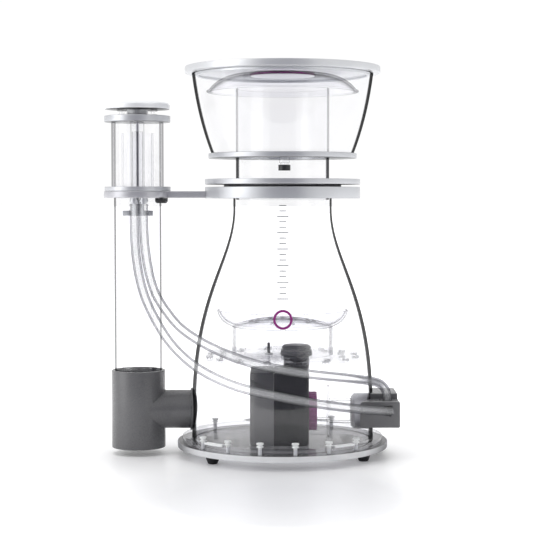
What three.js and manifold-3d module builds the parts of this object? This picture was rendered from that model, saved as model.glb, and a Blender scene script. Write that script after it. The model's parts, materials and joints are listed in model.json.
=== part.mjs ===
// Protein skimmer: a conical clear reaction body on a round base, a collection cup with a lid on its neck,
// a needle-wheel pump inside, and an outlet column with an adjustable overflow tube and an air silencer.
// Millimetres, +Z up, -Y is the front. Inside the inner group the body's axis is the Z axis.
import * as THREE from "three";
import { mergeVertices } from "three/addons/utils/BufferGeometryUtils.js";
import Module from "manifold-3d";

const wasm = await Module();
wasm.setup();

// ---- Driving dimensions ----

const GAP = 0.3;
const SHELL_SIDES = 32;
const PIPE_SIDES = 24;
const SMALL_SIDES = 10;

const FOOT = { height: 11, topRadius: 10, bottomRadius: 6, circle: 122, angles: [42, 150, 222, 330] };
const PLATE = { radius: 141, bottom: 11, top: 19 };

const BODY = {
  footRadius: 121.5,
  neckRadius: 65.8,
  wall: 3,
  shoulderStart: 60,
  shoulderEnd: 330,
  lowerHandle: 160,
  upperHandle: 70,
  top: 357,
  steps: 6,
};
// Angles round the flange run from the front towards the right.
const FLANGE = { width: 12.2, top: 26, screwCircle: 129 };
const TAB = { inner: 125.5, outer: 133, top: 28.5, halfAngle: 7, angles: [-43, 37, 157, 197] };
const SCREW = { shank: 2.5, head: 4.7, waist: 2.9, bottom: 14, top: 34.4 };
const SCREW_ANGLES = [-53, -33, -13, 7, 27, 47, 147, 227];

const COLLAR = { radius: 103.6, bottom: 343.3, thickness: 15.1 };
const SEAL = { inner: 68, outer: 78.5, thickness: 2.8 };
const CUP_COLLAR_THICKNESS = 7.1;
const RISER = { radius: 62.2, wall: 3, spigot: 15.5, top: 489 };
const CUP_FLOOR = { radius: 99, bottom: 396.5, thickness: 6.5 };
const CUP = { footRadius: 95, rimRadius: 120.7, bendRadius: 113.4, bendHeight: 450.5, wall: 3.5, top: 508.7 };
const LID = { radius: 130, bottom: 509, top: 518, lipInner: 112, lipOuter: 116, lipDepth: 3.5 };
const INLAY = { radius: 36, flangeRadius: 43, flangeBottom: 505.6, top: 518.6 };
const DEFLECTOR = { topRadius: 56, bendRadius: 86, rimRadius: 99, lipRadius: 101.4, rimHeight: 486.4 };
const DEFLECTOR_WALL = { thickness: 2.5, lip: 2 };
const DRAIN = { x: 2, y: -80, boreRadius: 3.2, stemRadius: 5, bossRadius: 6.5, bossBottom: 389 };
const DRAIN_CAP = { radius: 7.8, bottom: 378.9, top: 386.3, floor: 1.3 };

// Hole circles are [radius, number of holes].
const DISH = { footRadius: 67, rimRadius: 88, wall: 2.6, foot: 171.5, rim: 193.8, crown: 184.3, fall: 3 };
const DISH_HOLES = { radius: 3, circles: [[18, 5], [42, 10]] };
const SKIRT = { radius: 67.7, wall: 2.7 };
const BUBBLE_PLATE = { radius: 111.5, bottom: 130.3, top: 134.2 };
const BUBBLE_HOLES = { radius: 4.5, circles: [[82, 12], [99, 16]] };

// The pump's rotor, its intake pipe and the air block share one axis, parallel to X.
const PUMP_AXIS = { y: -22, z: 60.5 };
const PUMP = { left: -43, seam: -11.6, right: 34.5, halfDepth: 42, bottom: 19.3, top: 116 };
const PUMP_CORNERS = { wall: 8, seam: 1, top: 6 };
const CHAMBER = { radius: 27, left: 2, right: 31, canRadius: 12.5 };
const ROTOR = { left: -34, magnetRadius: 11.5, shaftRadius: 2.5, right: 24 };
const WHEEL = { radius: 24, left: 5, disc: 2.5, hubRadius: 6, right: 20 };
const NEEDLE = { radius: 1.6, circle: 20, count: 10 };
const OUTLET = { x: 18.4, y: -20, boreRadius: 13, neckRadius: 17, radius: 19.6, top: 149 };
const OUTLET_SKIRT = { radius: 21.2, top: 142 };
const OUTLET_WINDOW = { halfWidth: 5, bottom: 139, top: 145 };
const GLAND = { x: -27, z: 96, radius: 6, length: 10 };
const NUT = { radius: 25.7, ribs: 24, ribDepth: 1.1, left: 34.8, right: 45.5 };
const INTAKE = { tailRadius: 12, radius: 16.5, wall: 2.5, end: 138 };
const INTAKE_FLANGE = { radius: 35, left: 59.5, right: 62 };
const SOCKET = { radius: 23.7, left: 91, chamfer: 4 };
const BLOCK = { left: 98, right: 153, front: -68, back: 24, bottom: 44.5, top: 78.5, corner: 9 };
const BLOCK_STEP = { left: 110, right: 152.2, front: -36, top: 85.4 };

const COLUMN_X = -193.8;
const PIPE = { radius: 31.5, wall: 2.8 };
const TEE = { radius: 36, bottom: 9, top: 113, socketRadius: 31.8, boreRadius: 29, socketDepth: 25 };
const BRANCH = { height: 60, radius: 25.8, boreRadius: 22.3, pipeRadius: 22, pipeWall: 2.8, pipeStart: 31 };
const BRANCH_TAPER = { tipRadius: 35.6, share: 0.62 };
const GASKET = { thickness: 2.2, flangeRadius: 28.4, sleeveRadius: 25.6 };
const OVERFLOW = { radius: 20.6, wall: 2.4, bottom: 10, top: 319.7 };
const SPIDER = { hubRadius: 9, hubTop: 338, armTop: 327, armHalfWidth: 2.5 };
const BRACKET = { bottom: 344, top: 352.7, radius: 45, armHalfWidth: 20 };
const SILENCER = { radius: 34.8, wall: 3.2, baseTop: 358.8, cylinderTop: 444.3, capTop: 453 };
const SILENCER_FLANGE = { radius: 44, baseBore: 12 };
const AIR_HOLES = { radius: 2.5, circle: 17, count: 6 };
const SLEEVE = { radius: 21.4, wall: 2, top: 430 };
const ROD = { radius: 1.6, clearance: 1.9, bottom: 325, top: 467.5 };
const GUIDE = { radius: 9.1, bore: 7.2, bushBottom: 432 };
const KNOB = { radius: 43, bottom: 461.6, top: 470.7, hubRadius: 14, edge: 3 };
const VENT = { inner: 20, outer: 27, top: 461.2, rail: 1.6, posts: 6, postHalfWidth: 2.2 };
const BRACKET_SCREW = { x: 33.5, y: -23, headRadius: 8.5, headBottom: 336.9, shankRadius: 2.2 };

const HOSE = { radius: 6, boreRadius: 7.1, sides: 8, steps: 34 };
const NIPPLE = { bottom: 335.9, collarBottom: 338.5, collarRadius: 6.2, stemRadius: 5 };

// Hose routes from their nipples under the bracket, round the front of the body, to the air block.
const TOP_HOSE_ROUTE = [
  [-182.6, -38, 335.6],
  [-182.6, -38, 308],
  [-180.9, -40, 280.5],
  [-175.4, -48, 248],
  [-165.2, -62, 219],
  [-149.6, -78, 196.8],
  [-132.7, -93, 179],
  [-110.1, -108, 164.4],
  [-86.5, -120, 153.2],
  [-60, -129, 143],
  [-30, -133, 134],
  [5, -133, 127.2],
  [38, -126, 121.3],
  [72, -110, 116],
  [100, -90, 110.5],
  [118.5, -71.5, 105.5],
  [128.4, -60.6, 100.6],
  [134.9, -52.8, 92],
  [137.2, -50, 82],
  [137.2, -50, 74],
];
const FRONT_HOSE_ROUTE = [
  [-194.9, -38, 335.6],
  [-194.9, -38, 308],
  [-193.6, -41, 280.5],
  [-188.8, -50, 248],
  [-178.6, -64, 213.8],
  [-160.8, -84, 181.8],
  [-145.4, -98, 160.7],
  [-129.5, -110, 145.1],
  [-111, -122, 131.4],
  [-86, -132, 118.4],
  [-55, -137.5, 106.5],
  [-14, -138, 96.7],
  [26, -131, 88],
  [64, -116, 80],
  [103, -93.5, 72.5],
  [136, -71, 67.2],
  [141, -67.5, 66.5],
];

const COLOURS = {
  clear: [0xdfe6e8, 0.08],
  satin: [0xb4b6ba, 0.42],
  darkGrey: [0x57585a, 0.45],
  black: [0x1c1d1f, 0.55],
  rubber: [0x18191a, 0.85],
  nylon: [0xf1f2f1, 0.4],
  magenta: [0xa8459a, 0.4],
  silicone: [0xd5d9da, 0.3],
  pumpGrey: [0x5e6062, 0.5],
  pumpDark: [0x3b3d3f, 0.5],
};

// ---- Shapes ----

const radians = THREE.MathUtils.degToRad;

// A closed ring or a solid of revolution about Z from [radius, height] points, outer side upwards.
function turned(outline, sides = SHELL_SIDES) {
  const points = outline.map(([radius, height]) => new THREE.Vector2(radius, height));
  if (outline[0][0] > 0) {
    points.push(points[0].clone());
  }
  return new THREE.LatheGeometry(points, sides).rotateX(Math.PI / 2);
}

// The same, about the pump axis: the outline's heights become X.
function turnedAlongX(outline, sides = PIPE_SIDES) {
  return turned(outline, sides).rotateY(Math.PI / 2).translate(0, PUMP_AXIS.y, PUMP_AXIS.z);
}

function ring(outer, inner, bottom, top, sides = SHELL_SIDES) {
  return turned([[inner, bottom], [outer, bottom], [outer, top], [inner, top]], sides);
}

function post(radius, bottom, top, sides = SMALL_SIDES) {
  const height = top - bottom;
  return new THREE.CylinderGeometry(radius, radius, height, sides)
    .rotateX(Math.PI / 2)
    .translate(0, 0, bottom + height / 2);
}

function barAlongX(radius, left, right, y, z, sides = PIPE_SIDES) {
  return post(radius, left, right, sides).rotateY(Math.PI / 2).translate(0, y, z);
}

function block(minimum, maximum) {
  const size = maximum.map((value, axis) => value - minimum[axis]);
  const centre = maximum.map((value, axis) => (value + minimum[axis]) / 2);
  return new THREE.BoxGeometry(...size).translate(...centre);
}

// Points of a bezier curve through the plane of radius and height, as [radius, height].
function curvePoints(curve, steps) {
  return curve.getPoints(steps).map((point) => [point.x, point.y]);
}

function bodyCurve(inset) {
  return new THREE.CubicBezierCurve(
    new THREE.Vector2(BODY.footRadius - inset, BODY.shoulderStart),
    new THREE.Vector2(BODY.footRadius - inset, BODY.shoulderStart + BODY.lowerHandle),
    new THREE.Vector2(BODY.neckRadius - inset, BODY.shoulderEnd - BODY.upperHandle),
    new THREE.Vector2(BODY.neckRadius - inset, BODY.shoulderEnd),
  );
}

// A wedge of a flat ring between two angles, measured from the front towards the right.
function ringSector(outer, inner, startDegrees, endDegrees, bottom, top) {
  const start = radians(startDegrees - 90);
  const end = radians(endDegrees - 90);
  const shape = new THREE.Shape();
  shape.absarc(0, 0, outer, start, end, false);
  shape.absarc(0, 0, inner, end, start, true);
  return new THREE.ExtrudeGeometry(shape, { depth: top - bottom, bevelEnabled: false, curveSegments: 2 })
    .translate(0, 0, bottom);
}

// A rectangle in a plane with its own radius at the left and the right corners.
function roundedRectangle(left, right, low, high, leftCorner, rightCorner) {
  const shape = new THREE.Shape();
  const quarter = Math.PI / 2;
  shape.absarc(right - rightCorner, low + rightCorner, rightCorner, -quarter, 0, false);
  shape.absarc(right - rightCorner, high - rightCorner, rightCorner, 0, quarter, false);
  shape.absarc(left + leftCorner, high - leftCorner, leftCorner, quarter, 2 * quarter, false);
  shape.absarc(left + leftCorner, low + leftCorner, leftCorner, 2 * quarter, 3 * quarter, false);
  return shape;
}

// ---- Joining and cutting ----

function toSolid(geometry) {
  const bare = geometry.clone();
  bare.deleteAttribute("normal");
  bare.deleteAttribute("uv");
  const merged = mergeVertices(bare, 1e-4);
  const triangles = [];
  for (let corner = 0; corner < merged.index.count; corner += 3) {
    const [a, b, c] = [0, 1, 2].map((step) => merged.index.getX(corner + step));
    if (a !== b && b !== c && c !== a) {
      triangles.push(a, b, c);
    }
  }
  return new wasm.Manifold(
    new wasm.Mesh({
      numProp: 3,
      vertProperties: merged.attributes.position.array,
      triVerts: new Uint32Array(triangles),
    }),
  );
}

function toGeometry(solid) {
  const mesh = solid.getMesh();
  const geometry = new THREE.BufferGeometry();
  geometry.setAttribute("position", new THREE.BufferAttribute(mesh.vertProperties, mesh.numProp));
  geometry.setIndex(new THREE.BufferAttribute(mesh.triVerts, 1));
  geometry.computeVertexNormals();
  return geometry;
}

function joined(...geometries) {
  return toGeometry(geometries.map(toSolid).reduce((whole, piece) => whole.add(piece)));
}

function cut(geometry, ...tools) {
  return toGeometry(tools.map(toSolid).reduce((whole, tool) => whole.subtract(tool), toSolid(geometry)));
}

function common(first, second) {
  return toGeometry(toSolid(first).intersect(toSolid(second)));
}

// The body's outer form as a solid plug, grown by an offset, for saddle faces that follow its wall.
function bodyPlug(offset) {
  return turned([
    [0, 0],
    [BODY.footRadius + offset, 0],
    ...curvePoints(bodyCurve(-offset), BODY.steps),
    [0, BODY.shoulderEnd],
  ]);
}

// ---- The assembly ----

const skimmer = new THREE.Group();
const column = new THREE.Group();
column.position.x = COLUMN_X;
skimmer.add(column);

function addPart(parent, name, colour, geometry, position = [0, 0, 0]) {
  const [hex, roughness] = COLOURS[colour];
  const material = new THREE.MeshStandardMaterial({ color: hex, roughness, metalness: 0 });
  const mesh = new THREE.Mesh(geometry, material);
  mesh.name = name;
  mesh.position.set(...position);
  parent.add(mesh);
}

// A place on a circle about the body's axis, at an angle from the front towards the right.
function aroundFront(circle, degrees) {
  const angle = radians(degrees - 90);
  return [circle * Math.cos(angle), circle * Math.sin(angle), 0];
}

function addBase() {
  const footOutline = [
    [0, 0],
    [FOOT.bottomRadius, 0],
    [FOOT.topRadius, FOOT.height - GAP],
    [0, FOOT.height - GAP],
  ];
  FOOT.angles.forEach((degrees, index) => {
    const angle = radians(degrees);
    const place = [FOOT.circle * Math.cos(angle), FOOT.circle * Math.sin(angle), 0];
    addPart(skimmer, `foot_${index + 1}`, "rubber", turned(footOutline, SMALL_SIDES), place);
  });

  const screwHoles = SCREW_ANGLES.map((degrees) =>
    post(SCREW.shank + GAP, SCREW.bottom - 1, FLANGE.top + 1, 8)
      .translate(...aroundFront(FLANGE.screwCircle, degrees)));
  const plate = post(PLATE.radius, PLATE.bottom, PLATE.top, SHELL_SIDES);
  addPart(skimmer, "base_plate", "clear", cut(plate, ...screwHoles));

  const inner = BODY.footRadius + GAP;
  const band = ring(inner + FLANGE.width, inner, PLATE.top + GAP, FLANGE.top);
  const tabs = TAB.angles.map((centre) => {
    const [start, end] = [centre - TAB.halfAngle, centre + TAB.halfAngle];
    return ringSector(TAB.outer, TAB.inner, start, end, FLANGE.top - 1, TAB.top);
  });
  addPart(skimmer, "body_flange", "clear", cut(joined(band, ...tabs), ...screwHoles));

  const screwOutline = [
    [0, SCREW.bottom],
    [SCREW.shank, SCREW.bottom],
    [SCREW.shank, TAB.top + GAP],
    [SCREW.head - 0.5, TAB.top + GAP],
    [SCREW.waist, SCREW.top - 4.2],
    [SCREW.head, SCREW.top - 2.2],
    [SCREW.head, SCREW.top],
    [0, SCREW.top],
  ];
  SCREW_ANGLES.forEach((degrees, index) => {
    const place = aroundFront(FLANGE.screwCircle, degrees);
    addPart(skimmer, `flange_screw_${index + 1}`, "nylon", turned(screwOutline, 8), place);
  });
}

function addBody() {
  const outer = curvePoints(bodyCurve(0), BODY.steps);
  const inner = curvePoints(bodyCurve(BODY.wall), BODY.steps).reverse();
  const shell = turned([
    [BODY.footRadius, PLATE.top + GAP],
    ...outer,
    [BODY.neckRadius, BODY.top],
    [BODY.neckRadius - BODY.wall, BODY.top],
    ...inner,
    [BODY.footRadius - BODY.wall, PLATE.top + GAP],
  ]);
  const [inside, outside] = [BODY.footRadius - 20, BODY.footRadius + 10];
  const branchHole = barAlongX(GASKET.sleeveRadius + GAP, -outside, -inside, 0, BRANCH.height);
  const intakeHole = barAlongX(INTAKE.radius + 0.5, inside, outside, PUMP_AXIS.y, PUMP_AXIS.z);
  addPart(skimmer, "body_shell", "clear", cut(shell, branchHole, intakeHole));

  const collarTop = COLLAR.bottom + COLLAR.thickness;
  const collarBore = BODY.neckRadius + GAP;
  addPart(skimmer, "body_collar", "satin", ring(COLLAR.radius, collarBore, COLLAR.bottom, collarTop));
  const sealBottom = collarTop + GAP;
  const seal = ring(SEAL.outer, SEAL.inner, sealBottom, sealBottom + SEAL.thickness);
  addPart(skimmer, "collar_seal", "rubber", seal);
}

function addCup() {
  const collarBottom = COLLAR.bottom + COLLAR.thickness + SEAL.thickness + 2 * GAP;
  const collarTop = collarBottom + CUP_COLLAR_THICKNESS;
  const riserHole = RISER.radius + GAP;
  addPart(skimmer, "cup_collar", "satin", ring(COLLAR.radius, riserHole, collarBottom, collarTop));
  const riser = ring(RISER.radius, RISER.radius - RISER.wall, BODY.top - RISER.spigot, RISER.top);
  addPart(skimmer, "riser_tube", "clear", riser);

  const floorTop = CUP_FLOOR.bottom + CUP_FLOOR.thickness;
  const floorPlate = ring(CUP_FLOOR.radius, riserHole, CUP_FLOOR.bottom, floorTop);
  const drainHole = post(DRAIN.stemRadius + GAP, CUP_FLOOR.bottom - 2, floorTop + 2)
    .translate(DRAIN.x, DRAIN.y, 0);
  addPart(skimmer, "cup_floor", "satin", cut(floorPlate, drainHole));

  const cupFoot = floorTop + GAP;
  const cupCurve = (inset) => new THREE.QuadraticBezierCurve(
    new THREE.Vector2(CUP.footRadius - inset, cupFoot),
    new THREE.Vector2(CUP.bendRadius - inset, CUP.bendHeight),
    new THREE.Vector2(CUP.rimRadius - inset, CUP.top),
  );
  const cupOutline = [...curvePoints(cupCurve(0), 4), ...curvePoints(cupCurve(CUP.wall), 4).reverse()];
  addPart(skimmer, "cup_shell", "clear", turned(cupOutline));

  const capFloorTop = DRAIN_CAP.bottom + DRAIN_CAP.floor;
  const nippleBottom = capFloorTop + GAP;
  const bossTop = CUP_FLOOR.bottom - GAP;
  const nipple = turned([
    [DRAIN.boreRadius, nippleBottom],
    [DRAIN.stemRadius, nippleBottom],
    [DRAIN.stemRadius, DRAIN.bossBottom],
    [DRAIN.bossRadius, DRAIN.bossBottom],
    [DRAIN.bossRadius, bossTop],
    [DRAIN.stemRadius, bossTop],
    [DRAIN.stemRadius, floorTop],
    [DRAIN.boreRadius, floorTop],
  ], SMALL_SIDES);
  addPart(skimmer, "drain_nipple", "clear", nipple, [DRAIN.x, DRAIN.y, 0]);
  const capBore = DRAIN.stemRadius + 2 * GAP;
  const cap = turned([
    [0, DRAIN_CAP.bottom],
    [DRAIN_CAP.radius, DRAIN_CAP.bottom],
    [DRAIN_CAP.radius, DRAIN_CAP.top],
    [capBore, DRAIN_CAP.top],
    [capBore, capFloorTop],
    [0, capFloorTop],
  ], SMALL_SIDES);
  addPart(skimmer, "drain_cap", "black", cap, [DRAIN.x, DRAIN.y, 0]);
}

function addLid() {
  const holeRadius = INLAY.radius + GAP;
  const disc = turned([
    [holeRadius, LID.bottom],
    [LID.lipInner, LID.bottom],
    [LID.lipInner, LID.bottom - LID.lipDepth],
    [LID.lipOuter, LID.bottom - LID.lipDepth],
    [LID.lipOuter, LID.bottom],
    [LID.radius, LID.bottom],
    [LID.radius, LID.top],
    [holeRadius, LID.top],
  ]);
  addPart(skimmer, "lid_disc", "satin", disc);
  const top = LID.bottom - GAP;
  const inlay = turned([
    [0, INLAY.flangeBottom],
    [INLAY.flangeRadius, INLAY.flangeBottom],
    [INLAY.flangeRadius, top],
    [INLAY.radius, top],
    [INLAY.radius, INLAY.top],
    [0, INLAY.top],
  ], PIPE_SIDES);
  addPart(skimmer, "lid_inlay", "magenta", inlay);

  const domeCurve = (inset) => new THREE.QuadraticBezierCurve(
    new THREE.Vector2(DEFLECTOR.topRadius, top - inset),
    new THREE.Vector2(DEFLECTOR.bendRadius - inset, top - 3 - inset),
    new THREE.Vector2(DEFLECTOR.rimRadius - inset, DEFLECTOR.rimHeight),
  );
  const rimBottom = DEFLECTOR.rimHeight - DEFLECTOR_WALL.lip;
  const holeInDome = INLAY.flangeRadius + GAP;
  const dome = turned([
    [holeInDome, top - DEFLECTOR_WALL.thickness],
    ...curvePoints(domeCurve(DEFLECTOR_WALL.thickness), 3),
    [DEFLECTOR.rimRadius - DEFLECTOR_WALL.thickness, rimBottom],
    [DEFLECTOR.lipRadius, rimBottom],
    [DEFLECTOR.lipRadius, DEFLECTOR.rimHeight],
    ...curvePoints(domeCurve(0), 3).reverse(),
    [holeInDome, top],
  ]);
  addPart(skimmer, "lid_deflector", "clear", dome);
}

// Cutting tools for circles of holes about the body's axis.
function holeCircles(holes, bottom, top) {
  return holes.circles.flatMap(([circle, count]) => Array.from({ length: count }, (_, index) => {
    const place = aroundFront(circle, (360 * (index + 0.5)) / count);
    return post(holes.radius, bottom, top, 6).translate(...place);
  }));
}

function addDiffuser() {
  const skirtTop = DISH.foot - GAP;
  const skirt = ring(SKIRT.radius, SKIRT.radius - SKIRT.wall, BUBBLE_PLATE.top + GAP, skirtTop);
  addPart(skimmer, "diffuser_skirt", "clear", skirt);

  const side = (inset, lift) => new THREE.QuadraticBezierCurve(
    new THREE.Vector2(DISH.footRadius - inset, DISH.foot + lift),
    new THREE.Vector2(DISH.rimRadius - inset - 3, DISH.foot + lift + 6),
    new THREE.Vector2(DISH.rimRadius - inset, DISH.rim),
  );
  const dish = turned([
    [0, DISH.crown - DISH.wall],
    [DISH.footRadius / 2, DISH.crown - DISH.wall - DISH.fall],
    [DISH.footRadius - DISH.wall, DISH.foot],
    ...curvePoints(side(0, 0), 3),
    ...curvePoints(side(DISH.wall, DISH.wall), 3).reverse(),
    [DISH.footRadius / 2, DISH.crown - DISH.fall],
    [0, DISH.crown],
  ], PIPE_SIDES);
  const dishHoles = holeCircles(DISH_HOLES, DISH.foot - 5, DISH.crown + 5);
  addPart(skimmer, "diffuser_dish", "clear", cut(dish, ...dishHoles));

  const [below, above] = [BUBBLE_PLATE.bottom - 2, BUBBLE_PLATE.top + 2];
  const outletHole = post(OUTLET.neckRadius + 0.4, below, above, PIPE_SIDES)
    .translate(OUTLET.x, OUTLET.y, 0);
  const plate = post(BUBBLE_PLATE.radius, BUBBLE_PLATE.bottom, BUBBLE_PLATE.top, SHELL_SIDES);
  const pierced = cut(plate, outletHole, ...holeCircles(BUBBLE_HOLES, below, above));
  addPart(skimmer, "bubble_plate", "clear", pierced);
}

function pumpBlock(left, right, leftCorner, rightCorner) {
  const front = PUMP_AXIS.y - PUMP.halfDepth;
  const back = PUMP_AXIS.y + PUMP.halfDepth;
  const outline = roundedRectangle(left, right, front, back, leftCorner, rightCorner);
  const rise = PUMP.top - PUMP.bottom;
  const straight = { depth: rise, bevelEnabled: false, curveSegments: 5 };
  return new THREE.ExtrudeGeometry(outline, straight).translate(0, 0, PUMP.bottom);
}

// Breaks the pump's top edges all round.
function pumpEnvelope() {
  const low = PUMP_AXIS.y - PUMP.halfDepth;
  const high = PUMP_AXIS.y + PUMP.halfDepth;
  const outline = roundedRectangle(low, high, PUMP.bottom - 20, PUMP.top, PUMP_CORNERS.top, PUMP_CORNERS.top);
  const length = { depth: 200, bevelEnabled: false, curveSegments: 3 };
  return new THREE.ExtrudeGeometry(outline, length)
    .rotateX(Math.PI / 2)
    .rotateZ(Math.PI / 2)
    .translate(-length.depth / 2, 0, 0);
}

function addPump() {
  const { y, z } = PUMP_AXIS;
  const envelope = pumpEnvelope();
  const seamRight = PUMP.seam + GAP;

  const motorForm = pumpBlock(PUMP.left, PUMP.seam, PUMP_CORNERS.wall, PUMP_CORNERS.seam);
  const motorBlock = common(motorForm, envelope);
  const can = barAlongX(CHAMBER.canRadius, ROTOR.left - 1, PUMP.seam + 1, y, z);
  addPart(skimmer, "pump_motor", "pumpGrey", cut(motorBlock, can));

  const voluteForm = pumpBlock(seamRight, PUMP.right, PUMP_CORNERS.seam, PUMP_CORNERS.wall);
  const voluteBlock = common(voluteForm, envelope);
  const volute = cut(
    voluteBlock,
    barAlongX(CHAMBER.canRadius, seamRight - 1, CHAMBER.left + 1, y, z),
    barAlongX(CHAMBER.radius, CHAMBER.left, CHAMBER.right, y, z),
    barAlongX(INTAKE.tailRadius + 0.5, CHAMBER.right - 1, PUMP.right + 1, y, z),
    post(OUTLET.boreRadius, z, PUMP.top + 1, PIPE_SIDES).translate(OUTLET.x, OUTLET.y, 0),
  );
  addPart(skimmer, "pump_volute", "pumpDark", volute);

  const magnetRight = CHAMBER.left - 3;
  const rotor = turnedAlongX([
    [0, ROTOR.left],
    [ROTOR.magnetRadius, ROTOR.left],
    [ROTOR.magnetRadius, magnetRight],
    [ROTOR.shaftRadius, magnetRight],
    [ROTOR.shaftRadius, ROTOR.right],
    [0, ROTOR.right],
  ], SMALL_SIDES);
  addPart(skimmer, "rotor_shaft", "black", rotor);

  const hubBore = ROTOR.shaftRadius + GAP;
  const discRight = WHEEL.left + WHEEL.disc;
  const wheel = turnedAlongX([
    [hubBore, WHEEL.left],
    [WHEEL.radius, WHEEL.left],
    [WHEEL.radius, discRight],
    [WHEEL.hubRadius, discRight],
    [WHEEL.hubRadius, WHEEL.right],
    [hubBore, WHEEL.right],
  ]);
  const needles = Array.from({ length: NEEDLE.count }, (_, index) => {
    const turn = (2 * Math.PI * index) / NEEDLE.count;
    const needleY = y + NEEDLE.circle * Math.cos(turn);
    const needleZ = z + NEEDLE.circle * Math.sin(turn);
    return barAlongX(NEEDLE.radius, discRight - 1, WHEEL.right + 1, needleY, needleZ, 5);
  });
  addPart(skimmer, "impeller", "nylon", joined(wheel, ...needles));

  const capBottom = BUBBLE_PLATE.top + GAP;
  const outletBody = turned([
    [OUTLET.boreRadius, PUMP.top + GAP],
    [OUTLET.neckRadius, PUMP.top + GAP],
    [OUTLET.neckRadius, capBottom],
    [OUTLET_SKIRT.radius, capBottom],
    [OUTLET_SKIRT.radius, OUTLET_SKIRT.top],
    [OUTLET.radius, OUTLET_SKIRT.top],
    [OUTLET.radius, OUTLET.top - 3],
    [OUTLET.radius - 3, OUTLET.top],
    [0, OUTLET.top],
    [0, OUTLET.top - 3],
    [OUTLET.boreRadius, OUTLET.top - 3],
  ], 20);
  const { halfWidth, bottom, top } = OUTLET_WINDOW;
  const windows = block([-30, -halfWidth, bottom], [30, halfWidth, top]);
  addPart(skimmer, "pump_outlet", "black", cut(outletBody, windows), [OUTLET.x, OUTLET.y, 0]);

  const gland = post(GLAND.radius, 0, GLAND.length).rotateX(-Math.PI / 2);
  addPart(skimmer, "cable_gland", "black", gland, [GLAND.x, y + PUMP.halfDepth + GAP, GLAND.z]);
}

function addIntake() {
  const nutShape = new THREE.Shape();
  for (let index = 0; index < 2 * NUT.ribs; index += 1) {
    const turn = (Math.PI * index) / NUT.ribs;
    const radius = NUT.radius - (index % 2) * NUT.ribDepth;
    const move = index === 0 ? "moveTo" : "lineTo";
    nutShape[move](radius * Math.cos(turn), radius * Math.sin(turn));
  }
  nutShape.holes.push(new THREE.Path().absarc(0, 0, INTAKE.tailRadius + 0.5, 0, 2 * Math.PI, true));
  const nutLength = { depth: NUT.right - NUT.left, bevelEnabled: false, curveSegments: 12 };
  const nut = new THREE.ExtrudeGeometry(nutShape, nutLength)
    .rotateY(Math.PI / 2)
    .translate(NUT.left, PUMP_AXIS.y, PUMP_AXIS.z);
  addPart(skimmer, "union_nut", "magenta", nut);

  const tailLeft = PUMP.right - 2.5;
  const boreStep = INTAKE_FLANGE.right + 2;
  const pipe = turnedAlongX([
    [INTAKE.tailRadius - INTAKE.wall, tailLeft],
    [INTAKE.tailRadius, tailLeft],
    [INTAKE.tailRadius, INTAKE_FLANGE.left],
    [INTAKE_FLANGE.radius, INTAKE_FLANGE.left],
    [INTAKE_FLANGE.radius, INTAKE_FLANGE.right],
    [INTAKE.radius, INTAKE_FLANGE.right],
    [INTAKE.radius, INTAKE.end],
    [INTAKE.radius - INTAKE.wall, INTAKE.end],
    [INTAKE.radius - INTAKE.wall, boreStep],
    [INTAKE.tailRadius - INTAKE.wall, boreStep],
  ]);
  addPart(skimmer, "intake_pipe", "clear", pipe);

  const pipeHole = INTAKE.radius + GAP;
  const pastTheWall = BODY.footRadius + 10;
  const socket = turnedAlongX([
    [pipeHole, SOCKET.left],
    [SOCKET.radius - SOCKET.chamfer, SOCKET.left],
    [SOCKET.radius, SOCKET.left + SOCKET.chamfer],
    [SOCKET.radius, pastTheWall],
    [pipeHole, pastTheWall],
  ]);
  const insideWall = bodyPlug(-BODY.wall - GAP);
  addPart(skimmer, "intake_socket", "darkGrey", common(socket, insideWall));
}

function hoseCurve(route) {
  return new THREE.CatmullRomCurve3(route.map((point) => new THREE.Vector3(...point)), false, "centripetal");
}

// A straight bore that a hose end pushes into, along the hose's last stretch.
function hoseBore(route) {
  const last = new THREE.Vector3(...route.at(-1));
  const before = new THREE.Vector3(...route.at(-2));
  const along = last.clone().sub(before).normalize();
  const length = 40;
  const turn = new THREE.Quaternion().setFromUnitVectors(new THREE.Vector3(0, 1, 0), along);
  const centre = last.clone().addScaledVector(along, 1 - length / 2);
  return new THREE.CylinderGeometry(HOSE.boreRadius, HOSE.boreRadius, length, SMALL_SIDES)
    .applyQuaternion(turn)
    .translate(centre.x, centre.y, centre.z);
}

function addAirBlock() {
  const depth = BLOCK.back - BLOCK.front;
  const outline = roundedRectangle(BLOCK.left, BLOCK.right, BLOCK.bottom, BLOCK.top, BLOCK.corner, 1.5);
  const lower = new THREE.ExtrudeGeometry(outline, { depth, bevelEnabled: false, curveSegments: 4 })
    .rotateX(Math.PI / 2)
    .translate(0, BLOCK.back, 0);
  const raised = block(
    [BLOCK_STEP.left, BLOCK_STEP.front, BLOCK.top - 5],
    [BLOCK_STEP.right, BLOCK.back, BLOCK_STEP.top],
  );
  const pipeBore = barAlongX(INTAKE.radius + GAP, BLOCK.left - 1, INTAKE.end + 1, PUMP_AXIS.y, PUMP_AXIS.z);
  const shape = cut(
    joined(lower, raised),
    bodyPlug(GAP),
    pipeBore,
    hoseBore(TOP_HOSE_ROUTE),
    hoseBore(FRONT_HOSE_ROUTE),
  );
  addPart(skimmer, "air_block", "darkGrey", shape);
}

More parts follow.
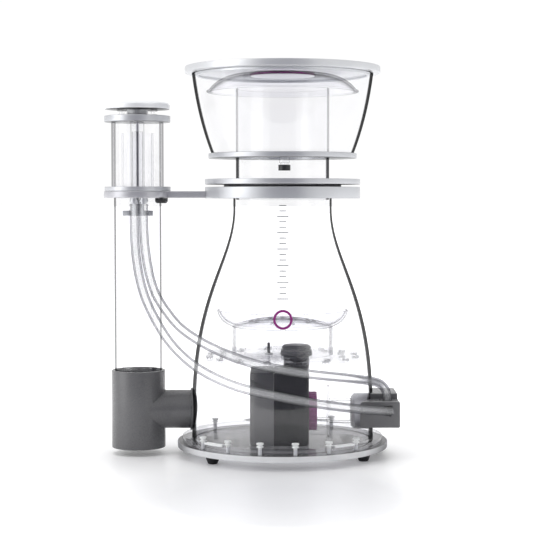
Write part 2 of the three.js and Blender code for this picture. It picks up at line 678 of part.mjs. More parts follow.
// The tee's branch: an ellipse as deep as the tee at its axis, narrowing to a circle at the body.
function branchSleeve(length) {
  const sleeve = new THREE.CylinderGeometry(BRANCH.radius, BRANCH.radius, length, PIPE_SIDES, 4)
    .rotateZ(-Math.PI / 2)
    .translate(length / 2, 0, 0);
  const places = sleeve.attributes.position;
  const widest = BRANCH_TAPER.tipRadius / BRANCH.radius;
  for (let index = 0; index < places.count; index += 1) {
    const along = Math.min(places.getX(index) / (length * BRANCH_TAPER.share), 1);
    places.setY(index, places.getY(index) * THREE.MathUtils.lerp(widest, 1, along));
  }
  return sleeve.translate(0, 0, BRANCH.height);
}

function addOutlet() {
  const socketTop = TEE.bottom + TEE.socketDepth;
  const socketBottom = TEE.top - TEE.socketDepth;
  const gasketOuter = GAP + GASKET.thickness;
  const branchLength = -COLUMN_X - BODY.footRadius + 5;
  const plugAt = (offset) => bodyPlug(offset).translate(-COLUMN_X, 0, 0);

  const barrel = post(TEE.radius, TEE.bottom, TEE.top, PIPE_SIDES);
  const tee = cut(
    joined(barrel, branchSleeve(branchLength)),
    post(TEE.boreRadius, TEE.bottom - 1, TEE.top + 1, PIPE_SIDES),
    post(TEE.socketRadius, TEE.bottom - 1, socketTop, PIPE_SIDES),
    post(TEE.socketRadius, socketBottom, TEE.top + 1, PIPE_SIDES),
    barAlongX(BRANCH.boreRadius, 0, branchLength + 20, 0, BRANCH.height),
    plugAt(gasketOuter + GAP),
  );
  addPart(column, "outlet_tee", "darkGrey", tee);

  const bush = ring(PIPE.radius, OVERFLOW.radius + GAP, TEE.bottom + GAP, socketTop - GAP, PIPE_SIDES);
  addPart(column, "tee_bush", "darkGrey", bush);
  const pipe = ring(PIPE.radius, PIPE.radius - PIPE.wall, socketBottom + GAP, BRACKET.top - GAP, PIPE_SIDES);
  addPart(column, "outlet_pipe", "clear", pipe);

  const pipeEnd = -COLUMN_X - BODY.footRadius + BODY.wall + 1;
  const branchPipe = cut(
    barAlongX(BRANCH.pipeRadius, BRANCH.pipeStart, pipeEnd, 0, BRANCH.height),
    barAlongX(BRANCH.pipeRadius - BRANCH.pipeWall, 0, pipeEnd + 10, 0, BRANCH.height),
  );
  addPart(column, "branch_pipe", "darkGrey", branchPipe);

  const [start, end] = [pipeEnd - 30, pipeEnd + 20];
  const flangeBar = barAlongX(GASKET.flangeRadius, start, end, 0, BRANCH.height);
  const sleeveBar = barAlongX(GASKET.sleeveRadius, start, end, 0, BRANCH.height);
  const flange = cut(common(flangeBar, plugAt(gasketOuter)), plugAt(GAP));
  const sleeve = cut(common(sleeveBar, plugAt(GAP + 1)), plugAt(-BODY.wall));
  const gasketBore = barAlongX(BRANCH.boreRadius, start - 1, end + 1, 0, BRANCH.height);
  addPart(column, "branch_gasket", "rubber", cut(joined(flange, sleeve), gasketBore));
}

function addOverflow() {
  const inner = OVERFLOW.radius - OVERFLOW.wall;
  addPart(column, "overflow_tube", "clear", ring(OVERFLOW.radius, inner, OVERFLOW.bottom, OVERFLOW.top, 32));
  const crossBottom = OVERFLOW.top + GAP;
  const reach = OVERFLOW.radius;
  const { armHalfWidth } = SPIDER;
  const spider = cut(
    joined(
      post(SPIDER.hubRadius, crossBottom, SPIDER.hubTop, 20),
      block([-reach, -armHalfWidth, crossBottom], [reach, armHalfWidth, SPIDER.armTop]),
      block([-armHalfWidth, -reach, crossBottom], [armHalfWidth, reach, SPIDER.armTop]),
    ),
    post(ROD.clearance, crossBottom - 1, SPIDER.hubTop + 1, 12),
  );
  addPart(column, "overflow_spider", "satin", spider);
  addPart(column, "adjuster_rod", "black", post(ROD.radius, ROD.bottom, ROD.top, 12));

  const hubBottom = SILENCER.capTop + GAP;
  const knob = turned([
    [ROD.clearance, hubBottom],
    [KNOB.hubRadius, hubBottom],
    [KNOB.hubRadius, KNOB.bottom],
    [KNOB.radius, KNOB.bottom],
    [KNOB.radius, KNOB.top - KNOB.edge],
    [KNOB.radius - KNOB.edge, KNOB.top],
    [0, KNOB.top],
    [0, ROD.top + GAP],
    [ROD.clearance, ROD.top + GAP],
  ], 28);
  addPart(column, "adjuster_knob", "satin", knob);
}

function addBracket() {
  const outline = new THREE.Shape();
  const meet = Math.asin(BRACKET.armHalfWidth / BRACKET.radius);
  const armEnd = -COLUMN_X - Math.sqrt(COLLAR.radius ** 2 - BRACKET.armHalfWidth ** 2);
  outline.absarc(0, 0, BRACKET.radius, meet, 2 * Math.PI - meet, false);
  outline.lineTo(armEnd, -BRACKET.armHalfWidth);
  outline.lineTo(armEnd, BRACKET.armHalfWidth);
  const depth = BRACKET.top - BRACKET.bottom;
  const plate = new THREE.ExtrudeGeometry(outline, { depth, bevelEnabled: false, curveSegments: 16 })
    .translate(0, 0, BRACKET.bottom);
  const [below, above] = [BRACKET.bottom - 1, SILENCER.baseTop + 1];
  const collarPlug = post(COLLAR.radius + GAP, below, above, SHELL_SIDES).translate(-COLUMN_X, 0, 0);
  const pipeHole = post(PIPE.radius + GAP, below, above, PIPE_SIDES);
  const screwPlace = [BRACKET_SCREW.x, BRACKET_SCREW.y, 0];
  const screwHole = post(BRACKET_SCREW.shankRadius + GAP, below, above, 12).translate(...screwPlace);
  addPart(column, "column_bracket", "satin", cut(plate, collarPlug, pipeHole, screwHole));

  const screwTop = SILENCER.baseTop - 1;
  const headTop = BRACKET.bottom - GAP;
  const screw = turned([
    [0, BRACKET_SCREW.headBottom],
    [BRACKET_SCREW.headRadius, BRACKET_SCREW.headBottom],
    [BRACKET_SCREW.headRadius, headTop],
    [BRACKET_SCREW.shankRadius, headTop],
    [BRACKET_SCREW.shankRadius, screwTop],
    [0, screwTop],
  ], SMALL_SIDES);
  addPart(column, "bracket_screw", "black", screw, screwPlace);

  const baseBottom = BRACKET.top + GAP;
  const { radius, baseBore } = SILENCER_FLANGE;
  const base = ring(radius, baseBore, baseBottom, SILENCER.baseTop, PIPE_SIDES);
  addPart(column, "silencer_base", "satin", cut(base, screwHole));

  [TOP_HOSE_ROUTE, FRONT_HOSE_ROUTE].forEach((route, index) => {
    const nipple = turned([
      [0, NIPPLE.bottom],
      [NIPPLE.stemRadius, NIPPLE.bottom],
      [NIPPLE.stemRadius, NIPPLE.collarBottom],
      [NIPPLE.collarRadius - 0.2, NIPPLE.collarBottom],
      [NIPPLE.collarRadius - 0.2, BRACKET.bottom - GAP],
      [0, BRACKET.bottom - GAP],
    ], SMALL_SIDES);
    addPart(skimmer, `hose_nipple_${index + 1}`, "satin", nipple, [route[0][0], route[0][1], 0]);
  });
}

function addSilencer() {
  const cylinderBottom = SILENCER.baseTop + GAP;
  const cylinderInner = SILENCER.radius - SILENCER.wall;
  const { cylinderTop } = SILENCER;
  const cylinder = ring(SILENCER.radius, cylinderInner, cylinderBottom, cylinderTop, PIPE_SIDES);
  addPart(column, "silencer_cylinder", "clear", cylinder);
  const sleeve = ring(SLEEVE.radius, SLEEVE.radius - SLEEVE.wall, cylinderBottom, SLEEVE.top, 32);
  addPart(column, "silencer_sleeve", "clear", sleeve);

  const guide = turned([
    [GUIDE.bore, cylinderBottom],
    [GUIDE.radius, cylinderBottom],
    [GUIDE.radius, cylinderTop],
    [ROD.clearance, cylinderTop],
    [ROD.clearance, GUIDE.bushBottom],
    [GUIDE.bore, GUIDE.bushBottom],
  ], SMALL_SIDES);
  addPart(column, "rod_guide", "clear", guide);

  const capBottom = cylinderTop + GAP;
  const cap = ring(SILENCER_FLANGE.radius, ROD.clearance, capBottom, SILENCER.capTop, PIPE_SIDES);
  const airHoles = Array.from({ length: AIR_HOLES.count }, (_, index) =>
    post(AIR_HOLES.radius, capBottom - 1, SILENCER.capTop + 1, 8)
      .translate(AIR_HOLES.circle, 0, 0)
      .rotateZ((2 * Math.PI * index) / AIR_HOLES.count));
  addPart(column, "silencer_cap", "satin", cut(cap, ...airHoles));

  const ventBottom = SILENCER.capTop + GAP;
  const posts = Array.from({ length: VENT.posts }, (_, index) => {
    const low = [VENT.inner + 0.5, -VENT.postHalfWidth, ventBottom + 0.5];
    const high = [VENT.outer - 0.5, VENT.postHalfWidth, VENT.top - 0.5];
    return block(low, high).rotateZ((2 * Math.PI * (index + 0.5)) / VENT.posts);
  });
  const lowerRail = ring(VENT.outer, VENT.inner, ventBottom, ventBottom + VENT.rail, 32);
  const upperRail = ring(VENT.outer, VENT.inner, VENT.top - VENT.rail, VENT.top, 32);
  addPart(column, "vent_ring", "clear", joined(lowerRail, upperRail, ...posts));
}

function addHose(name, route) {
  const section = new THREE.Shape().absarc(0, 0, HOSE.radius, 0, 2 * Math.PI, false);
  const settings = {
    steps: HOSE.steps,
    curveSegments: HOSE.sides / 2,
    extrudePath: hoseCurve(route),
    bevelEnabled: false,
  };
  addPart(skimmer, name, "silicone", new THREE.ExtrudeGeometry(section, settings));
}

addBase();
addBody();
addCup();
addLid();
addDiffuser();
addPump();
addIntake();
addAirBlock();
addOutlet();
addOverflow();
addBracket();
addSilencer();
addHose("air_hose_top", TOP_HOSE_ROUTE);
addHose("air_hose_front", FRONT_HOSE_ROUTE);

// The origin is at the middle of the whole part's width and depth, on the surface it stands on.
const leftmost = COLUMN_X - BRACKET.radius;
skimmer.position.x = -(leftmost + BLOCK.right) / 2;

const part = new THREE.Group();
part.add(skimmer);

export default part;
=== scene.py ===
# Protein skimmer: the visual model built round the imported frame.
# Sizes are millimetres in the row frame, and MM turns them into Blender's metres.
import json
import math

import bmesh
import bpy
from mathutils import Matrix, Vector


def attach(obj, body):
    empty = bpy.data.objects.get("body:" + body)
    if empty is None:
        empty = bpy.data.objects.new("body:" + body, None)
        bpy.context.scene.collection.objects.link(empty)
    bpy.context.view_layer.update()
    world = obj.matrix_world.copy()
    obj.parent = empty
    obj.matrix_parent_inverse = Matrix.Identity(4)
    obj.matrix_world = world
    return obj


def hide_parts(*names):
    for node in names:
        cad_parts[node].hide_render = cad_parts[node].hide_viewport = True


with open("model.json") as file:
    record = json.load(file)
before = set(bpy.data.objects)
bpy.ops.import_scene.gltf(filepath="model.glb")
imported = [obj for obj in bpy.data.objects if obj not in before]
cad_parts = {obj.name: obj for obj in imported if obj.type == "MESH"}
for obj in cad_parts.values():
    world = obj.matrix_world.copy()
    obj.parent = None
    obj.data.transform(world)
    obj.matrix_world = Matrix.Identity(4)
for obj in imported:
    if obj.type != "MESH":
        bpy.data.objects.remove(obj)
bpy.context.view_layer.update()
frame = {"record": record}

MM = 0.001
BODY_X = 42.9
COLUMN_X = -150.9
PUMP_LINE = (-22.0, 60.5)
BRANCH_LINE = (0.0, 60.0)
BODY_AXIS = (BODY_X, 0.0)
COLUMN_AXIS = (COLUMN_X, 0.0)
BODY_OF = {node: body for body, nodes in frame["record"]["behaviour"]["bodies"].items() for node in nodes}
SLOT_OF = {part["node"]: part["material_slot"] for part in frame["record"]["subparts"]}

FINE, LARGE, MEDIUM, SMALL = 144, 112, 72, 32


# ---- Camera, floor and light ----

CAMERA_PLACE = (0.03285, -1.978, 0.3435)
CAMERA_PITCH = math.radians(2.98)
SENSOR = 36.0
LENS = 96.6
SOFT_LIGHT = 0.62


def add_camera():
    data = bpy.data.cameras.new("camera")
    data.sensor_width = SENSOR
    data.lens = LENS
    camera = bpy.data.objects.new("camera", data)
    camera.location = CAMERA_PLACE
    camera.rotation_euler = (math.pi / 2 - CAMERA_PITCH, 0, 0)
    bpy.context.scene.collection.objects.link(camera)
    bpy.context.scene.camera = camera


def add_light(name, place, target, width, height, power, mirrored=True):
    data = bpy.data.lights.new(name, "AREA")
    data.shape = "RECTANGLE"
    data.size = width
    data.size_y = height
    data.energy = power
    light = bpy.data.objects.new(name, data)
    light.location = place
    light.visible_glossy = mirrored
    light.rotation_euler = (Vector(target) - Vector(place)).to_track_quat("-Z", "Y").to_euler()
    bpy.context.scene.collection.objects.link(light)


# A white studio: bright in reflections, with a darker gap that the front of the object faces,
# softer as a light on matt surfaces, and plain white behind the object.
def add_world():
    world = bpy.data.worlds.new("studio")
    bpy.context.scene.world = world
    world.use_nodes = True
    nodes = world.node_tree.nodes
    nodes.clear()
    output = nodes.new("ShaderNodeOutputWorld")
    path = nodes.new("ShaderNodeLightPath")
    place = nodes.new("ShaderNodeTexCoord")
    along = spread(nodes, split(nodes, place.outputs["Generated"])["Y"], -1, 1)
    gap = [(0.0, (0.24, 0.24, 0.29)), (0.07, (0.27, 0.27, 0.32)), (0.10, (1, 1, 1))]
    studio = ramp(nodes, along, gap)
    layers = []
    for strength in (SOFT_LIGHT, 1.0, 1.02):
        layer = nodes.new("ShaderNodeBackground")
        layer.inputs["Strength"].default_value = strength
        layers.append(layer.outputs[0])
    matt, glossy, seen = layers
    link(studio, matt.node.inputs["Color"])
    link(studio, glossy.node.inputs["Color"])
    seen.node.inputs["Color"].default_value = (1, 1, 1, 1)
    for ray, other in (("Is Glossy Ray", glossy), ("Is Camera Ray", seen)):
        choose = nodes.new("ShaderNodeMixShader")
        link(path.outputs[ray], choose.inputs["Fac"])
        link(matt, choose.inputs[1])
        link(other, choose.inputs[2])
        matt = choose.outputs[0]
    link(matt, output.inputs["Surface"])


def add_floor():
    corners = [(-30, -0.9, 0), (30, -0.9, 0), (30, 60, 0), (-30, 60, 0)]
    floor = mesh_object("floor", corners, [(0, 1, 2, 3)], 1.0)
    floor.data.materials.append(MATERIALS["floor"])


# ---- Materials ----

def new_material(name):
    material = bpy.data.materials.new(name)
    material.use_nodes = True
    material.node_tree.nodes.clear()
    return material, material.node_tree.nodes


def link(source, target):
    source.id_data.links.new(source, target)


def noise(nodes, scale, detail=3.0, stretch=(1, 1, 1)):
    place = nodes.new("ShaderNodeTexCoord")
    mapping = nodes.new("ShaderNodeMapping")
    mapping.inputs["Scale"].default_value = stretch
    texture = nodes.new("ShaderNodeTexNoise")
    texture.inputs["Scale"].default_value = scale
    texture.inputs["Detail"].default_value = detail
    link(place.outputs["Object"], mapping.inputs["Vector"])
    link(mapping.outputs["Vector"], texture.inputs["Vector"])
    return texture.outputs["Fac"]


def ramp(nodes, factor, stops):
    node = nodes.new("ShaderNodeValToRGB")
    node.color_ramp.elements[0].position = stops[0][0]
    node.color_ramp.elements[0].color = (*stops[0][1], 1)
    node.color_ramp.elements[1].position = stops[-1][0]
    node.color_ramp.elements[1].color = (*stops[-1][1], 1)
    for position, colour in stops[1:-1]:
        node.color_ramp.elements.new(position).color = (*colour, 1)
    link(factor, node.inputs["Fac"])
    return node.outputs["Color"]


def bump(nodes, height, distance, strength=0.3):
    node = nodes.new("ShaderNodeBump")
    node.inputs["Distance"].default_value = distance
    node.inputs["Strength"].default_value = strength
    link(height, node.inputs["Height"])
    return node.outputs["Normal"]


def varied(colour, amount):
    low = tuple(channel * (1 - amount) for channel in colour)
    high = tuple(channel * (1 + amount) for channel in colour)
    return low, high


def multiplied(nodes, first, second):
    node = nodes.new("ShaderNodeMix")
    node.data_type = "RGBA"
    node.blend_type = "MULTIPLY"
    node.inputs["Factor"].default_value = 1.0
    link(first, node.inputs["A"])
    link(second, node.inputs["B"])
    return node.outputs["Result"]


def split(nodes, vector):
    node = nodes.new("ShaderNodeSeparateXYZ")
    link(vector, node.inputs[0])
    return node.outputs


# Where a surface is along X, Y or Z in the row frame, in metres.
def place_along(nodes, axis):
    place = nodes.new("ShaderNodeTexCoord")
    return split(nodes, place.outputs["Object"])[axis]


# Maps a value so that low becomes 0 and high becomes 1.
def spread(nodes, value, low, high):
    node = nodes.new("ShaderNodeMapRange")
    node.inputs["From Min"].default_value = low
    node.inputs["From Max"].default_value = high
    link(value, node.inputs["Value"])
    return node.outputs["Result"]


# Painted shade: how much of a colour is left on faces that look down.
def painted_underside_shade(nodes, share):
    geometry = nodes.new("ShaderNodeNewGeometry")
    upward = spread(nodes, split(nodes, geometry.outputs["Normal"])["Z"], -1, 1)
    return ramp(nodes, upward, [(0.1, (share,) * 3), (0.35, (1, 1, 1))])


# An opaque plastic, rubber or acrylic with its own mottling, grain and sheen. under keeps that share of the
# colour on faces that look down, as painted shade.
def solid(name, colour, roughness, mottle, grain, depth=0.00001, specular=0.5, metallic=0.0, under=1.0,
          extra_tint=None):
    material, nodes = new_material(name)
    output = nodes.new("ShaderNodeOutputMaterial")
    shader = nodes.new("ShaderNodeBsdfPrincipled")
    shader.inputs["Specular IOR Level"].default_value = specular
    shader.inputs["Metallic"].default_value = metallic
    cloud = noise(nodes, 22.0, 4.0)
    low, high = varied(colour, mottle)
    mottled = ramp(nodes, cloud, [(0.3, low), (0.7, high)])
    # Faces that look down are darkened here: painted shade.
    if under < 1:
        mottled = multiplied(nodes, mottled, painted_underside_shade(nodes, under))
    if extra_tint:
        mottled = multiplied(nodes, mottled, extra_tint(nodes))
    link(mottled, shader.inputs["Base Color"])
    fine = noise(nodes, grain, 2.0)
    rough_low = (roughness - 0.05,) * 3
    rough_high = (roughness + 0.05,) * 3
    link(ramp(nodes, fine, [(0.35, rough_low), (0.65, rough_high)]), shader.inputs["Roughness"])
    link(bump(nodes, fine, depth), shader.inputs["Normal"])
    link(shader.outputs[0], output.inputs["Surface"])
    return material


# Clear acrylic. tints and shines are stops over how far the wall is turned from the eye: 0 is flat on,
# 1 is edge on. tints is the share of light let through, shines the share that mirrors.
def clear(name, tints, shines, roughness=0.04, extra_tint=None):
    material, nodes = new_material(name)
    output = nodes.new("ShaderNodeOutputMaterial")
    through = nodes.new("ShaderNodeBsdfTransparent")
    shine = nodes.new("ShaderNodeBsdfGlossy")
    join = nodes.new("ShaderNodeMixShader")
    weight = nodes.new("ShaderNodeLayerWeight")
    facing = weight.outputs["Facing"]
    tint = ramp(nodes, facing, [(at, (share, share, min(1.0, share * 1.012))) for at, share in tints])
    mirror = ramp(nodes, facing, [(at, (share,) * 3) for at, share in shines])
    cloud = noise(nodes, 14.0, 3.0)
    haze = ramp(nodes, cloud, [(0.35, (0.997, 0.997, 0.999)), (0.6, (1, 1, 1))])
    tint = multiplied(nodes, tint, haze)
    if extra_tint:
        tint = multiplied(nodes, tint, extra_tint(nodes))
    link(tint, through.inputs["Color"])
    scratch = noise(nodes, 160.0, 5.0, (1, 1, 0.06))
    rough = ramp(nodes, scratch, [(0.4, (roughness,) * 3), (0.75, (roughness + 0.1,) * 3)])
    link(rough, shine.inputs["Roughness"])
    link(mirror, join.inputs["Fac"])
    link(through.outputs[0], join.inputs[1])
    link(shine.outputs[0], join.inputs[2])
    link(join.outputs[0], output.inputs["Surface"])
    return material


# The base plate is darker towards its left and right ends: painted dark reflections and refractions at its
# ends.
def painted_end_reflections(nodes):
    offset = nodes.new("ShaderNodeMath")
    offset.operation = "SUBTRACT"
    offset.inputs[1].default_value = BODY_X * MM
    size = nodes.new("ShaderNodeMath")
    size.operation = "ABSOLUTE"
    link(place_along(nodes, "X"), offset.inputs[0])
    link(offset.outputs[0], size.inputs[0])
    outward = spread(nodes, size.outputs[0], 0, PLATE_RADIUS * MM)
    return ramp(nodes, outward, [(0.82, (1, 1, 1)), (0.93, (0.28, 0.28, 0.29))])


# The riser's outline is strong below the cup's floor and faint inside the cup.
def upper_part(nodes):
    weight = nodes.new("ShaderNodeLayerWeight")
    dark = ramp(nodes, weight.outputs["Facing"], [(0.62, (1, 1, 1)), (0.67, (0.34, 0.34, 0.35))])
    choose = nodes.new("ShaderNodeMix")
    choose.data_type = "RGBA"
    choose.inputs["B"].default_value = (1, 1, 1, 1)
    link(spread(nodes, place_along(nodes, "Z"), 0.400, 0.403), choose.inputs["Factor"])
    link(dark, choose.inputs["A"])
    return choose.outputs["Result"]


# The wall of a bored hole: broken dark and bright flecks.
def bored(name):
    material, nodes = new_material(name)
    output = nodes.new("ShaderNodeOutputMaterial")
    through = nodes.new("ShaderNodeBsdfTransparent")
    grain = noise(nodes, 900.0, 2.0)
    flecks = ramp(nodes, grain, [(0.40, (0.38, 0.38, 0.40)), (0.58, (0.98, 0.98, 0.98))])
    link(flecks, through.inputs["Color"])
    link(through.outputs[0], output.inputs["Surface"])
    return material


# A milky hose wall: part of the light passes, the rest is scattered back.
def milky(name, colour, share):
    material, nodes = new_material(name)
    output = nodes.new("ShaderNodeOutputMaterial")
    through = nodes.new("ShaderNodeBsdfTransparent")
    shader = nodes.new("ShaderNodeBsdfPrincipled")
    shader.inputs["Roughness"].default_value = 0.25
    join = nodes.new("ShaderNodeMixShader")
    weight = nodes.new("ShaderNodeLayerWeight")
    facing = weight.outputs["Facing"]
    edges = [(0.0, (1, 1, 1)), (0.26, (1, 1, 1)), (0.4, (0.56, 0.56, 0.58)), (1.0, (0.5, 0.5, 0.52))]
    link(ramp(nodes, facing, edges), through.inputs["Color"])
    shares = [(0.0, (share,) * 3), (0.4, (share,) * 3), (0.75, (share * 0.35,) * 3)]
    link(ramp(nodes, facing, shares), join.inputs["Fac"])
    cloud = noise(nodes, 60.0, 3.0)
    low, high = varied(colour, 0.04)
    link(ramp(nodes, cloud, [(0.3, low), (0.7, high)]), shader.inputs["Base Color"])
    link(through.outputs[0], join.inputs[1])
    link(shader.outputs[0], join.inputs[2])
    link(join.outputs[0], output.inputs["Surface"])
    return material


# How near a place on the floor is to a point: 1 at the point, 0 at the radius and beyond.
def nearness(nodes, centre, radius):
    place = nodes.new("ShaderNodeTexCoord")
    mapping = nodes.new("ShaderNodeMapping")
    mapping.inputs["Scale"].default_value = (1 / radius[0], 1 / radius[1], 1)
    mapping.inputs["Location"].default_value = (-centre[0] / radius[0], -centre[1] / radius[1], 0)
    gradient = nodes.new("ShaderNodeTexGradient")
    gradient.gradient_type = "SPHERICAL"
    link(place.outputs["Object"], mapping.inputs["Vector"])
    link(mapping.outputs["Vector"], gradient.inputs["Vector"])
    return gradient.outputs["Fac"]


# The bubble plate is darker to the left of the pump's outlet: a painted dark reflection of the pump below it.
def painted_pump_reflection(nodes):
    close = nearness(nodes, ((BODY_X - 20) * MM, -20 * MM), (0.060, 0.060))
    return ramp(nodes, close, [(0.1, (1, 1, 1)), (0.6, (0.62, 0.62, 0.64))])


# The motor's case looks darker above its waist.
def dark_top(nodes):
    above = spread(nodes, place_along(nodes, "Z"), 0.088, 0.096)
    return ramp(nodes, above, [(0.0, (1, 1, 1)), (1.0, (0.38, 0.38, 0.4))])


# A pale studio floor that glows white far away from the object, with a painted shadow just before the object:
# greyer there, and glowing less.
def studio_floor(name):
    material, nodes = new_material(name)
    output = nodes.new("ShaderNodeOutputMaterial")
    shader = nodes.new("ShaderNodeBsdfPrincipled")
    shader.inputs["Specular IOR Level"].default_value = 0.4
    shader.inputs["Roughness"].default_value = 0.38
    shader.inputs["Emission Strength"].default_value = 1.0
    # Painted shadow of the object on the floor just before it: a greyer colour and a dimmed glow.
    before = nearness(nodes, (0.043, -0.30), (0.22, 0.24))
    painted_shadow_colour = ramp(nodes, before, [(0.0, (0.93, 0.93, 0.94)), (0.75, (0.80, 0.805, 0.83))])
    grain = ramp(nodes, noise(nodes, 30.0), [(0.3, (0.99, 0.99, 0.99)), (0.7, (1, 1, 1))])
    link(multiplied(nodes, painted_shadow_colour, grain), shader.inputs["Base Color"])
    close = nearness(nodes, (0.0, 0.0), (0.6, 0.6))
    glow = ramp(nodes, close, [(0.1, (0.7, 0.7, 0.7)), (0.7, (0.1, 0.1, 0.1))])
    glow_dimmed_in_painted_shadow = ramp(nodes, before, [(0.0, (1, 1, 1)), (0.4, (0.2, 0.2, 0.2))])
    link(multiplied(nodes, glow, glow_dimmed_in_painted_shadow), shader.inputs["Emission Color"])
    link(shader.outputs[0], output.inputs["Surface"])
    return material


# Stops for a wall that is clear until it turns past start, and keeps only a share of the light from end on.
def edge_tint(start, end, share, last=None):
    return [(0.0, 0.998), (start, 0.998), (end, share), (1.0, last or share)]


SHELL_SHINE = [(0.0, 0.04), (0.6, 0.06), (0.7, 0.02), (1.0, 0.02)]
THIN_SHINE = [(0.0, 0.035), (0.5, 0.08), (0.65, 0.03), (1.0, 0.03)]
PLATE_SHINE = [(0.0, 0.04), (0.6, 0.10), (0.85, 0.30), (1.0, 0.45)]
PLATE_RADIUS = 141.0
CLEAR_LOOKS = {
    "clear_acrylic": dict(tints=edge_tint(0.69, 0.74, 0.22), shines=SHELL_SHINE),
    "clear_cup": dict(tints=edge_tint(0.72, 0.76, 0.18), shines=SHELL_SHINE),
    "inner_wall": dict(tints=[(0.0, 0.999), (1.0, 0.996)], shines=[(0.0, 0.02), (1.0, 0.02)]),
    "clear_riser": dict(tints=edge_tint(0.68, 0.73, 0.72), shines=SHELL_SHINE, extra_tint=upper_part),
    "clear_column": dict(tints=edge_tint(0.58, 0.65, 0.5), shines=THIN_SHINE),
    "acrylic_edge": dict(tints=[(0.0, 0.55), (1.0, 0.55)], shines=[(0.0, 0.05), (1.0, 0.05)]),
    "clear_sleeve": dict(tints=edge_tint(0.6, 0.7, 0.86, 0.84), shines=THIN_SHINE),
    "clear_thin": dict(tints=edge_tint(0.56, 0.64, 0.66, 0.62), shines=THIN_SHINE),
    "clear_skirt": dict(tints=edge_tint(0.68, 0.74, 0.72), shines=THIN_SHINE),
    # The bubble plate's extra tint is a painted dark reflection of the pump.
    "clear_plate": dict(tints=[(0.0, 0.99), (0.6, 0.97), (0.95, 0.93)], shines=PLATE_SHINE,
                        extra_tint=painted_pump_reflection),
    # The base plate's extra tint is a painted dark reflection at its ends.
    "clear_base": dict(tints=[(0.0, 0.88), (0.5, 0.85), (0.8, 0.5), (1.0, 0.42)], shines=PLATE_SHINE,
                       roughness=0.05, extra_tint=painted_end_reflections),
    "clear_flange": dict(tints=[(0.0, 0.97), (0.5, 0.95), (0.8, 0.84), (1.0, 0.8)], shines=PLATE_SHINE),
    "clear_dome": dict(tints=[(0.0, 0.99), (0.7, 0.97), (0.98, 0.5)], shines=THIN_SHINE),
}
SATIN = dict(mottle=0.03, grain=1800.0)
MOULDED = dict(grain=1500.0)
RUBBERY = dict(grain=900.0, depth=0.00005, specular=0.3)
PUMP_CASE = dict(grain=260.0, depth=0.000004)
SOLID_LOOKS = {
    # The under values of these looks are painted shade on faces that look down.
    "satin_acrylic": dict(colour=(0.56, 0.57, 0.595), roughness=0.38, metallic=0.75, under=0.25, **SATIN),
    "satin_lid": dict(colour=(0.66, 0.67, 0.69), roughness=0.38, metallic=0.7, under=0.85, **SATIN),
    "satin_pale": dict(colour=(0.86, 0.87, 0.89), roughness=0.38, metallic=0.3, under=0.2, **SATIN),
    "satin_dark": dict(colour=(0.50, 0.50, 0.53), roughness=0.36, metallic=0.6, under=0.4, **SATIN),
    "steel": dict(colour=(0.16, 0.16, 0.17), roughness=0.3, mottle=0.03, grain=1400.0, metallic=1.0),
    "dark_pvc": dict(colour=(0.125, 0.125, 0.13), roughness=0.27, mottle=0.05, depth=0.00002, **MOULDED),
    "black_plastic": dict(colour=(0.022, 0.022, 0.025), roughness=0.35, mottle=0.1, depth=0.00002, **MOULDED),
    "rubber": dict(colour=(0.012, 0.012, 0.014), roughness=0.6, mottle=0.15, **RUBBERY),
    "seal_rubber": dict(colour=(0.42, 0.42, 0.44), roughness=0.5, mottle=0.25, **RUBBERY),
    "nylon": dict(colour=(0.86, 0.87, 0.87), roughness=0.35, mottle=0.03, **MOULDED),
    "frosted": dict(colour=(0.9, 0.91, 0.92), roughness=0.3, mottle=0.02, **MOULDED),
    "magenta_plastic": dict(colour=(0.23, 0.015, 0.17), roughness=0.35, mottle=0.05, **MOULDED),
    "pump_grey": dict(colour=(0.15, 0.15, 0.155), roughness=0.45, mottle=0.05, specular=0.3,
                      extra_tint=dark_top, **PUMP_CASE),
    # pump_dark paints the volute's case far darker than the motor's: painted shade.
    "pump_dark": dict(colour=(0.018, 0.018, 0.021), roughness=0.5, mottle=0.06, specular=0.18, **PUMP_CASE),
    "pump_outlet": dict(colour=(0.045, 0.045, 0.05), roughness=0.34, mottle=0.06, grain=1600.0, specular=0.4),
    "grey_print": dict(colour=(0.24, 0.25, 0.27), roughness=0.5, mottle=0.1, grain=900.0),
}
MATERIALS = {
    "bored": bored("bored"),
    "silicone": milky("silicone", (0.94, 0.95, 0.96), 0.13),
    "plate_rim": milky("plate_rim", (0.95, 0.96, 0.98), 0.72),
    "floor": studio_floor("floor"),
}
MATERIALS.update({name: clear(name, **look) for name, look in CLEAR_LOOKS.items()})
MATERIALS.update({name: solid(name, **look) for name, look in SOLID_LOOKS.items()})


# ---- Mesh helpers ----

def mesh_object(name, points, faces, scale=MM, sharp=math.radians(32)):
    mesh = bpy.data.meshes.new(name)
    mesh.from_pydata([tuple(value * scale for value in point) for point in points], [], faces)
    tidy = bmesh.new()
    tidy.from_mesh(mesh)
    bmesh.ops.remove_doubles(tidy, verts=tidy.verts, dist=1e-7)
    bmesh.ops.recalc_face_normals(tidy, faces=tidy.faces)
    tidy.to_mesh(mesh)
    tidy.free()
    mesh.shade_smooth()
    mesh.set_sharp_from_angle(angle=sharp)
    made = bpy.data.objects.new(name, mesh)
    bpy.context.scene.collection.objects.link(made)
    return made


# Rounds the sharp corners of a closed outline. Points on the axis stay as they are.
def softened(outline, radius, steps=3):
    rounded = []
    count = len(outline)
    for index, (x, y) in enumerate(outline):
        corner = Vector((x, y))
        before = Vector(outline[index - 1]) - corner
        after = Vector(outline[(index + 1) % count]) - corner
        turn = math.pi - before.angle(after) if before.length and after.length else 0
        reach = min(radius, before.length * 0.45, after.length * 0.45)
        if x <= 0 or turn < math.radians(28) or radius <= 0:
            rounded.append((x, y))
            continue
        start = corner + before.normalized() * reach
        finish = corner + after.normalized() * reach
        for step in range(steps + 1):
            share = step / steps
            point = start * (1 - share) ** 2 + corner * 2 * share * (1 - share) + finish * share ** 2
            rounded.append((point.x, point.y))
    return rounded


